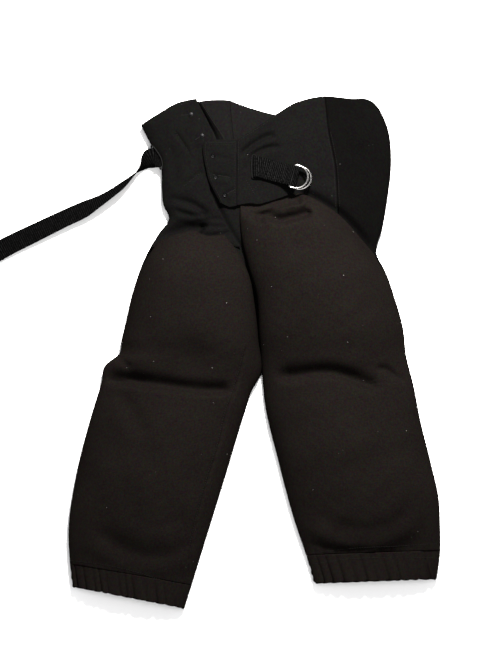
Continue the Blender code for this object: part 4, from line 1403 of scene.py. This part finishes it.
def make_casing():
    """The strip inside the back that the belt runs in: flat, with a low hump over the belt."""
    s, t = np.meshgrid(np.linspace(0, 1, 110), np.linspace(0, 1, 30))
    hump = (1 - np.abs(2 * t - 1) ** 5).clip(0) ** 0.5
    x = -86 + 214 * s
    y = 218 + 38 * t
    z = 2.6 + 3.6 * hump + 0.25 * ripple(x, y, 26, 61) * hump
    points = np.stack([x, y, z], axis=-1)
    cloth_panel("belt_casing_cloth", points, KNIT_INSIDE_PAINTED_LIGHT, "belt_casing", thickness=HEM_CLOTH)


SLOT_POINTS = 56
CORD_RADIUS = 0.8
CORD_WINDING = 0.12


def slot_loop(half_long, half_wide):
    """Offsets (across, along) of a long narrow loop."""
    angle = 2 * math.pi * np.arange(SLOT_POINTS) / SLOT_POINTS
    across = half_wide * np.cos(angle)
    along = (half_long - half_wide) * np.clip(1.6 * np.sin(angle), -1, 1) + half_wide * np.sin(angle)
    return across, along


def make_slot_bindings():
    """Corded edges round the two slots, each drawn as a core with thread wound round it."""
    across, along = slot_loop(14.7, 2.7)
    x, y = TAB_SLOT[0] + across, TAB_SLOT[1] + along
    z = lapped_height(x, y) + 1.1
    tab_loop = np.stack([x, y, z], axis=-1)

    tail_y, tail_z = TAIL_ROUTE[0][1:3]
    y, z = tail_y + along, tail_z + across
    rise = np.clip((z - SEAM_Z) / (WAIST_CROWN - SEAM_Z), 0, 1)
    u = (1 - rise**2) ** 0.25
    middle = (left_outer(y) + right_outer(y)) / 2
    tail_loop = np.stack([middle - u * (middle - right_outer(y)) - 1.6, y, z], axis=-1)

    for name, node, loop, up in (
        ("tab_slot_cord", "tab_slot_binding", tab_loop, (0, 0, 1)),
        ("tail_slot_cord", "tail_slot_binding", tail_loop, (1, 0, 0)),
    ):
        step = np.roll(loop, -1, axis=0) - loop
        line = np.concatenate([loop + step * t for t in (0, 0.25, 0.5, 0.75)], axis=1).reshape(-1, 3)
        wound = CORD_RADIUS + CORD_WINDING * np.cos(2 * math.pi * np.arange(len(line)) / 4)
        settle(tube(name, line, wound, BINDING, 10, up), "pants", "binding", node)


# ---------------------------------------------------------------- tab and rings

HEADING = np.array([math.cos(TAB_ANGLE), math.sin(TAB_ANGLE), 0.0])
TAB_SIDE = np.array([-math.sin(TAB_ANGLE), math.cos(TAB_ANGLE), 0.0])
TAB_BASE = float(waist_height(30.0, 225.0)) + FLAP_LIFT + TAB_BASE_GAP
TAB_ROOT = np.array([TAB_ROOT_X, TAB_SLOT[1], TAB_BASE])


def tab_place(along, across, height):
    return TAB_ROOT + HEADING * along + TAB_SIDE * across + np.array([0, 0, height])


def tab_side_view():
    """Centre line of the doubled webbing as (along, height): out of the slot, round both bars and back."""
    reach = RING_WIRE / 2 + 0.3 + WEB_THICKNESS / 2
    lean = math.atan2(LOWER_BAR[0] - UPPER_BAR[0], UPPER_BAR[1] - LOWER_BAR[1])
    first = [(-3.3, -6), (-3.3, -2.5), (-2.9, 0.9), (-1.2, 2.3), (1.6, 1.9), (5, 1.0), (9, 0.8)]
    first += [(16, 0.8), (24, 0.9), (32, 0.8), (44, 0.8)]
    for k in range(7):
        angle = -math.pi / 2 + (math.pi - lean) * k / 6
        first.append((LOWER_BAR[0] + reach * math.cos(angle), LOWER_BAR[1] + reach * math.sin(angle)))
    for k in range(4):
        angle = math.pi / 2 - lean + (math.radians(118) - math.pi / 2 + lean) * k / 3
        first.append((UPPER_BAR[0] + reach * math.cos(angle), UPPER_BAR[1] + reach * math.sin(angle)))
    back = [(36.6, 3.75), (33, 2.9), (28, 2.75), (14, 2.75), (9, 2.8), (5, 3.0), (1.6, 3.95)]
    back += [(-1.3, 4.3), (-4.3, 2.7), (-5.2, -0.6), (-5.2, -3), (-5.2, -6)]
    return resampled(first + back, 0.7)


def make_tab():
    view = tab_side_view()
    ahead = np.gradient(view, axis=0)
    ahead /= np.linalg.norm(ahead, axis=1)[:, None]
    thin = np.stack([-ahead[:, 1], ahead[:, 0]], axis=-1)
    count = len(ACROSS)
    rows = []
    for k, (along, height) in enumerate(view):
        row = []
        selvedge = WEB_WIDTH / 2 + 0.1 * math.sin(2.3 * k)
        for sign, order in ((1, range(count)), (-1, range(count - 1, -1, -1))):
            for j in order:
                a = along + sign * HALF_THICK[j] * thin[k, 0]
                h = height + sign * HALF_THICK[j] * thin[k, 1]
                reach = ACROSS[j] * selvedge
                if a <= 0:
                    place = TAB_ROOT + np.array([a, reach / math.cos(TAB_ANGLE), h])
                else:
                    shear = reach * math.tan(TAB_ANGLE) * float(smoothstep(14, 0, a))
                    place = tab_place(a + shear, reach, h)
                row.append(place)
        rows.append(row)
    line = np.pad(view, ((0, 0), (0, 1)))
    tab = strap("belt_tab_webbing", np.array(rows), line, WEBBING, faces_up=True)
    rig.replaces(tab, "belt_tab")
    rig.slot(tab, "webbing")
    hinge = (TAB_SLOT[1] * MM, (TAB_BASE + 3.6) * MM)
    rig.blend(tab, "pants", "tab", start=(0.0, *hinge), end=(0.008, *hinge))

    # Box of thread that closes the loop behind the rings
    sewing = Stitches()
    for side in (-9.5, 9.5):
        for k in range(9):
            a = tab_place(17.0 + 1.9 * k, side, 3.55)
            sewing.add(a, a + 1.4 * HEADING, (0, 0, 1), 0.24)
    for along in (16.5, 34.0):
        for k in range(10):
            a = tab_place(along, -9.3 + 1.9 * k, 3.6)
            sewing.add(a, a + 1.4 * TAB_SIDE, (0, 0, 1), 0.24)
    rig.ride(sewing.build("tab_stitches"), "tab")


def make_rings():
    half = RING_INNER_WIDTH / 2 + RING_WIRE / 2
    corner = 2.0
    outline = []
    for sign in (-1, 1):
        for k in range(9):
            angle = math.radians((180 if sign < 0 else 90) + 90 / 8 * k)
            x = corner + corner * math.cos(angle)
            outline.append((x, sign * (half - corner) + corner * math.sin(angle)))
        if sign < 0:
            for k in range(41):
                angle = math.radians(-90 + 180 * k / 40)
                outline.append((RING_ARM + half * math.cos(angle), half * math.sin(angle)))
    for k in range(1, 20):
        outline.append((0.0, (half - corner) * (1 - k / 10)))
    for name, bar in (("upper_ring", UPPER_BAR), ("lower_ring", LOWER_BAR)):
        line = np.array([tab_place(bar[0] + a, across, bar[1]) for a, across in outline])
        from_weld = np.linalg.norm(line - tab_place(bar[0], 0.0, bar[1]), axis=1)
        radii = RING_WIRE / 2 * (1 + 0.07 * np.exp(-((from_weld / 1.6) ** 2)))
        obj = tube(f"{name}_wire", line, radii, CHROME, 16)
        settle(obj, name, "chrome", name.replace("ring", "d_ring"))


# ---------------------------------------------------------------- snaps

CAP_PROFILE = (
    (0.0, 0.95), (0.75, 0.95), (0.95, 0.72), (1.2, 0.72), (1.75, 1.22), (2.3, 1.3),
    (2.75, 1.05), (3.0, 0.6), (2.95, 0.15), (2.7, 0.0), (0.0, 0.0),
)
STUD_PROFILE = (
    (0.0, 1.35), (0.85, 1.35), (1.35, 1.2), (1.5, 0.95), (1.3, 0.72), (1.25, 0.55),
    (1.7, 0.5), (2.5, 0.42), (2.8, 0.3), (2.8, 0.0), (0.0, 0.0),
)


SNAP_SIDES = 36
CAPS = {"top": (-51.7, 244.0), "middle": (-47.9, 217.5), "bottom": (-36.5, 195.0)}
STUDS = {"top": (-79.5, 297.0), "middle": (-65.6, 270.0), "bottom": (-56.0, 243.0)}


def turned(name, profile, centre, material):
    """A small turned piece from an outline of (radius, height), from the top's middle to the bottom's."""
    sides, ring = SNAP_SIDES, profile[1:-1]
    angles = 2 * math.pi * np.arange(sides) / sides
    points = [(0.0, 0.0, profile[0][1])]
    for radius, height in ring:
        points += [(radius * math.cos(a), radius * math.sin(a), height) for a in angles]
    points.append((0.0, 0.0, profile[-1][1]))
    faces = [(0, 1 + k, 1 + (k + 1) % sides) for k in range(sides)]
    for i in range(len(ring) - 1):
        for k in range(sides):
            a, b = 1 + i * sides + k, 1 + i * sides + (k + 1) % sides
            faces.append((a, a + sides, b + sides, b))
    last, first = len(points) - 1, 1 + (len(ring) - 1) * sides
    faces += [(last, first + (k + 1) % sides, first + k) for k in range(sides)]
    obj = mesh_object(name, np.array(points) + np.array(centre), faces, material)
    obj.data.set_sharp_from_angle(angle=math.radians(35))
    return obj


def make_snaps():
    for kind, profile, places, surface, body in (
        ("snap_cap", CAP_PROFILE, CAPS, flap_surface, "fly"),
        ("snap_stud", STUD_PROFILE, STUDS, waist["right"], "pants"),
    ):
        for place, (x, y) in places.items():
            centre = (x, y, surface.height(x, y) + 0.1)
            snap = turned(f"{kind}_{place}_metal", profile, centre, SNAP_METAL)
            settle(snap, body, "snap_metal", f"{kind}_{place}")


# ---------------------------------------------------------------- cuffs


def cuff_section(leg, edges, t, inset, u):
    """One loop of the cuff: the front from left to right, then the back, pleats measured along it."""
    y_outer = edges[0][0] + (edges[1][0] - edges[0][0]) * t
    y_inner = edges[0][1] + (edges[1][1] - edges[0][1]) * t
    outer = np.array([leg.outer(y_outer), y_outer])
    inner = np.array([leg.inner(y_inner), y_inner])
    left, right = (outer, inner) if leg.is_right else (inner, outer)
    width = np.linalg.norm(right - left)
    crown = CUFF_CROWN[0] + (CUFF_CROWN[1] - CUFF_CROWN[0]) * t
    front = np.stack([(u + 1) / 2 * width, SEAM_Z + (crown - SEAM_Z) * arched(u)], axis=-1)
    back = np.stack([(u + 1) / 2 * width, FLOOR_LIFT + (SEAM_Z - FLOOR_LIFT) * turned_up(u)], axis=-1)
    loop = np.concatenate([front, back[::-1][1:-1]])
    steps = np.linalg.norm(np.diff(np.vstack([loop, loop[:1]]), axis=0), axis=1)
    phase = np.concatenate([[0.0], np.cumsum(steps)])[:-1]
    ahead = np.roll(loop, -1, axis=0) - np.roll(loop, 1, axis=0)
    ahead /= np.linalg.norm(ahead, axis=1)[:, None]
    inward = np.stack([ahead[:, 1], -ahead[:, 0]], axis=-1)
    gather = GATHERS[leg.side](phase)
    deep = (1.2 + 2.5 * t) * gather
    loop = loop + inward * (inset + deep)[:, None]
    way = (right - left) / width
    places = left + loop[:, :1] * way
    up_leg = np.array([-way[1], way[0]])
    places = places + up_leg * (2.2 * t * gather)[:, None]
    return np.column_stack([places, loop[:, 1].clip(0.15)])


def make_cuff(leg, edges):
    u = np.sin(np.linspace(-math.pi / 2, math.pi / 2, 181))
    profile = [(0.0, t) for t in np.linspace(0, 0.97, 20)]
    turned_edge = np.linspace(0.4, math.pi - 0.4, 6)
    profile += [(1.3 - 1.3 * math.cos(a), 0.97 + 0.05 * math.sin(a)) for a in turned_edge]
    profile += [(2.7, t) for t in np.linspace(0.96, 0.03, 14)]
    points = np.stack([cuff_section(leg, edges, t, inset, u) for inset, t in profile])
    cuff = cloth_grid(f"{leg.side}_cuff_cloth", points, KNIT_LEG, HEM_CLOTH, faces_up=False, wrap=True)
    settle(cuff, leg.body, "knit", f"{leg.side}_cuff")
    declare_cloth(cuff, points, "gathered")

    band = np.stack([cuff_section(leg, edges, t, 4.3, u) for t in np.linspace(0.12, 0.86, 24)])
    elastic = cloth_grid(f"{leg.side}_cuff_band", band, ELASTIC, 1.3, faces_up=False, wrap=True)
    settle(elastic, leg.body, "elastic", f"{leg.side}_cuff_elastic")
    return Surface(points[:20], wrap=True)


# ---------------------------------------------------------------- pads

PAD_THICKNESS = 8.0
PAD_SPAN = 0.68
PAD_GAP = 4.4
SWELL_PRESSURE = 4.0
SWELL_FRAMES = 12
SWELL_CAP = 1.0


def make_pad(leg, part, body, low_y, high_y):
    """A foam slab under the front cloth, its rim rounded, then swollen a little by simulation."""
    low, high = leg.along(low_y), leg.along(high_y)
    s, t = np.meshgrid(np.linspace(-1, 1, 41), np.linspace(-1, 1, 61))
    u, along = PAD_SPAN * s, low + (high - low) * (t + 1) / 2
    outer = leg.grid(u, along)
    normals = grid_normals(outer)
    normals *= np.sign(normals[..., 2:])
    rim = np.maximum(np.abs(s), np.abs(t))
    half = (PAD_THICKNESS / 2 - 0.4) * (1 - rim**14).clip(0) ** 0.5
    corner = (np.abs(s) ** 8 + np.abs(t) ** 8) ** (1 / 8)
    pull = 0.985 / np.maximum(corner / np.maximum(rim, 1e-6), 1)
    middle = outer - normals * (CLOTH + PAD_GAP + PAD_THICKNESS / 2)
    centre = middle.reshape(-1, 3).mean(axis=0)
    middle[..., :2] = centre[:2] + (middle[..., :2] - centre[:2]) * pull[..., None]
    top, bottom = middle + normals * half[..., None], middle - normals * half[..., None]
    rows, columns = s.shape
    inner = np.ones(s.shape, bool)
    inner[0], inner[-1], inner[:, 0], inner[:, -1] = False, False, False, False
    index_top = np.arange(rows * columns).reshape(rows, columns)
    index_low = index_top.copy()
    index_low[inner] = rows * columns + np.arange(inner.sum())
    points = np.concatenate([top.reshape(-1, 3), bottom[inner]])
    faces = []
    for i in range(rows - 1):
        for j in range(columns - 1):
            corners = ((i, j), (i, j + 1), (i + 1, j + 1), (i + 1, j))
            faces.append(tuple(int(index_top[c]) for c in corners))
            faces.append(tuple(int(index_low[c]) for c in corners[::-1]))
    obj = mesh_object(f"{leg.side}_{part}_foam", points, faces, FOAM_COVER)
    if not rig.quick():
        swell(obj)
    settle(obj, body, "foam", f"{leg.side}_{part}_pad")
    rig.padded(obj, fill=0.7)


def swell(obj):
    """Blows a pad up with Blender's cloth, and keeps each point within the cap of where it was."""
    before = np.empty(len(obj.data.vertices) * 3)
    obj.data.vertices.foreach_get("co", before)
    cloth = obj.modifiers.new("Cloth", "CLOTH")
    cloth.settings.use_pressure = True
    cloth.settings.uniform_pressure_force = SWELL_PRESSURE
    cloth.settings.effector_weights.gravity = 0
    cloth.settings.quality = 4
    scene = bpy.context.scene
    for number in range(1, SWELL_FRAMES + 1):
        scene.frame_set(number)
    shape = obj.evaluated_get(bpy.context.evaluated_depsgraph_get())
    after = np.empty(len(before))
    shape.data.vertices.foreach_get("co", after)
    obj.modifiers.remove(cloth)
    scene.frame_set(1)
    move = (after - before).reshape(-1, 3)
    size = np.linalg.norm(move, axis=1)[:, None]
    move *= np.minimum(1, SWELL_CAP * MM / np.maximum(size, 1e-9))
    obj.data.vertices.foreach_set("co", (before.reshape(-1, 3) + move).ravel())
    obj.data.update()


# ---------------------------------------------------------------- sewing


# Rows of stitches and bar tacks on the flap and the two hip fronts, as (x, y) paths
FLAP_ROWS = (
    [(-58, 257.8), (-24, 257.8)],
    [(-58, 261.2), (-24, 261.2)],
    [(-24.2, 263), (-24.2, 184)],
    [(x + 3, y) for y, x in FLAP_EDGE[2:]],
)
FLAP_TACKS = (((-51.7, 220.5), (-30.4, 217.0)), ((-34.0, 196.5), (-24.0, 202.0)))
LEFT_YOKE_ROWS = (
    [(-10.4, 214), (0.6, 196)],
    [(7.6, 210), (-2.4, 201)],
    [(-20.0, 262), (-20.0, 222)],
)
RIGHT_YOKE_TACKS = (((-91.7, 296.5), (-82.0, 296.5)), ((-74.2, 265.0), (-68.5, 268.5)))
RIGHT_YOKE_ROWS = ([(-99, 276), (-83, 252)], [(-66.7, 224), (-89.2, 206.5)])

# The seams over the two cuffs, and the one on the left cuff itself
RIGHT_CUFF_LINE = [(-227, -262.5), (-191, -267), (-149, -276), (-113, -287), (-90, -292)]
LEFT_CUFF_LINE = [(72, -253), (122, -247.5), (173, -245), (226, -241.5)]
LEFT_CUFF_LOW_LINE = [(76, -264), (111, -259), (153, -256.6), (222, -256.6)]


def make_seams():
    fly_sewing = Stitches()
    for path in FLAP_ROWS:
        fly_sewing.row(flap_surface, path)
    for start, end in FLAP_TACKS:
        fly_sewing.tack(flap_surface, start, end)

    waist_sewing = Stitches()
    for path in LEFT_YOKE_ROWS:
        waist_sewing.row(waist["left"], path)
    for start, end in RIGHT_YOKE_TACKS:
        waist_sewing.tack(waist["right"], start, end)
    for path in RIGHT_YOKE_ROWS:
        waist_sewing.row(waist["right"], path)
    for panel, shift in (("left", -2.4), ("side", 2.4)):
        waist_sewing.row(waist[panel], [(x + shift, y) for y, x in SIDE_SEAM[1:-1]])
    waist_sewing.row(waist["left"], [(x, y - 2.2) for x, y in LEFT_TOP[:-1]])
    waist_sewing.row(waist["right"], [(x + 1, y - 2.2) for x, y in RIGHT_TOP[1:-1]])
    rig.ride(waist_sewing.build("waist_stitches"), "pants")
    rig.ride(fly_sewing.build("fly_stitches"), "fly")

    inseam = Stitches()
    inseam.row(leg_surfaces["right"], [(x - 2.6, y) for x, y in RIGHT_INSEAM[:-1]])
    start, end = leg_fade(RIGHT_LEG)
    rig.blend(inseam.build("right_inseam_stitches"), "pants", "right_lower_leg", start=start, end=end)

    right_cuff_sewing, left_cuff_sewing = Stitches(), Stitches()
    right_cuff_sewing.row(leg_surfaces["right"], [(x, y + 2.4) for x, y in RIGHT_CUFF_LINE])
    left_cuff_sewing.row(leg_surfaces["left"], [(x, y + 2.4) for x, y in LEFT_CUFF_LINE])
    left_cuff_sewing.row(cuff_surfaces["left"], LEFT_CUFF_LOW_LINE)
    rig.ride(right_cuff_sewing.build("right_cuff_stitches"), "right_lower_leg")
    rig.ride(left_cuff_sewing.build("left_cuff_stitches"), "left_lower_leg")


make_stage()
make_tail()
leg_surfaces = {}
cuff_surfaces = {}
for leg, cuff_edges in ((RIGHT_LEG, RIGHT_CUFF), (LEFT_LEG, LEFT_CUFF)):
    leg_surfaces[leg.side] = make_leg_front(leg)
    make_leg_back(leg)
    cuff_surfaces[leg.side] = make_cuff(leg, cuff_edges)
    make_pad(leg, "thigh", "pants", leg.knee + 32, 104)
    make_pad(leg, "shin", leg.body, -222, leg.knee - 30)
waist = make_waist()
flap_surface = make_flap()
make_belt()
make_casing()
make_slot_bindings()
make_tab()
make_rings()
make_snaps()
make_seams()

with open("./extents.json", "w") as out:
    json.dump({"cad": [list(v) for v in CAD_BOX], "visual": [list(v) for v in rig.bounds()]}, out)
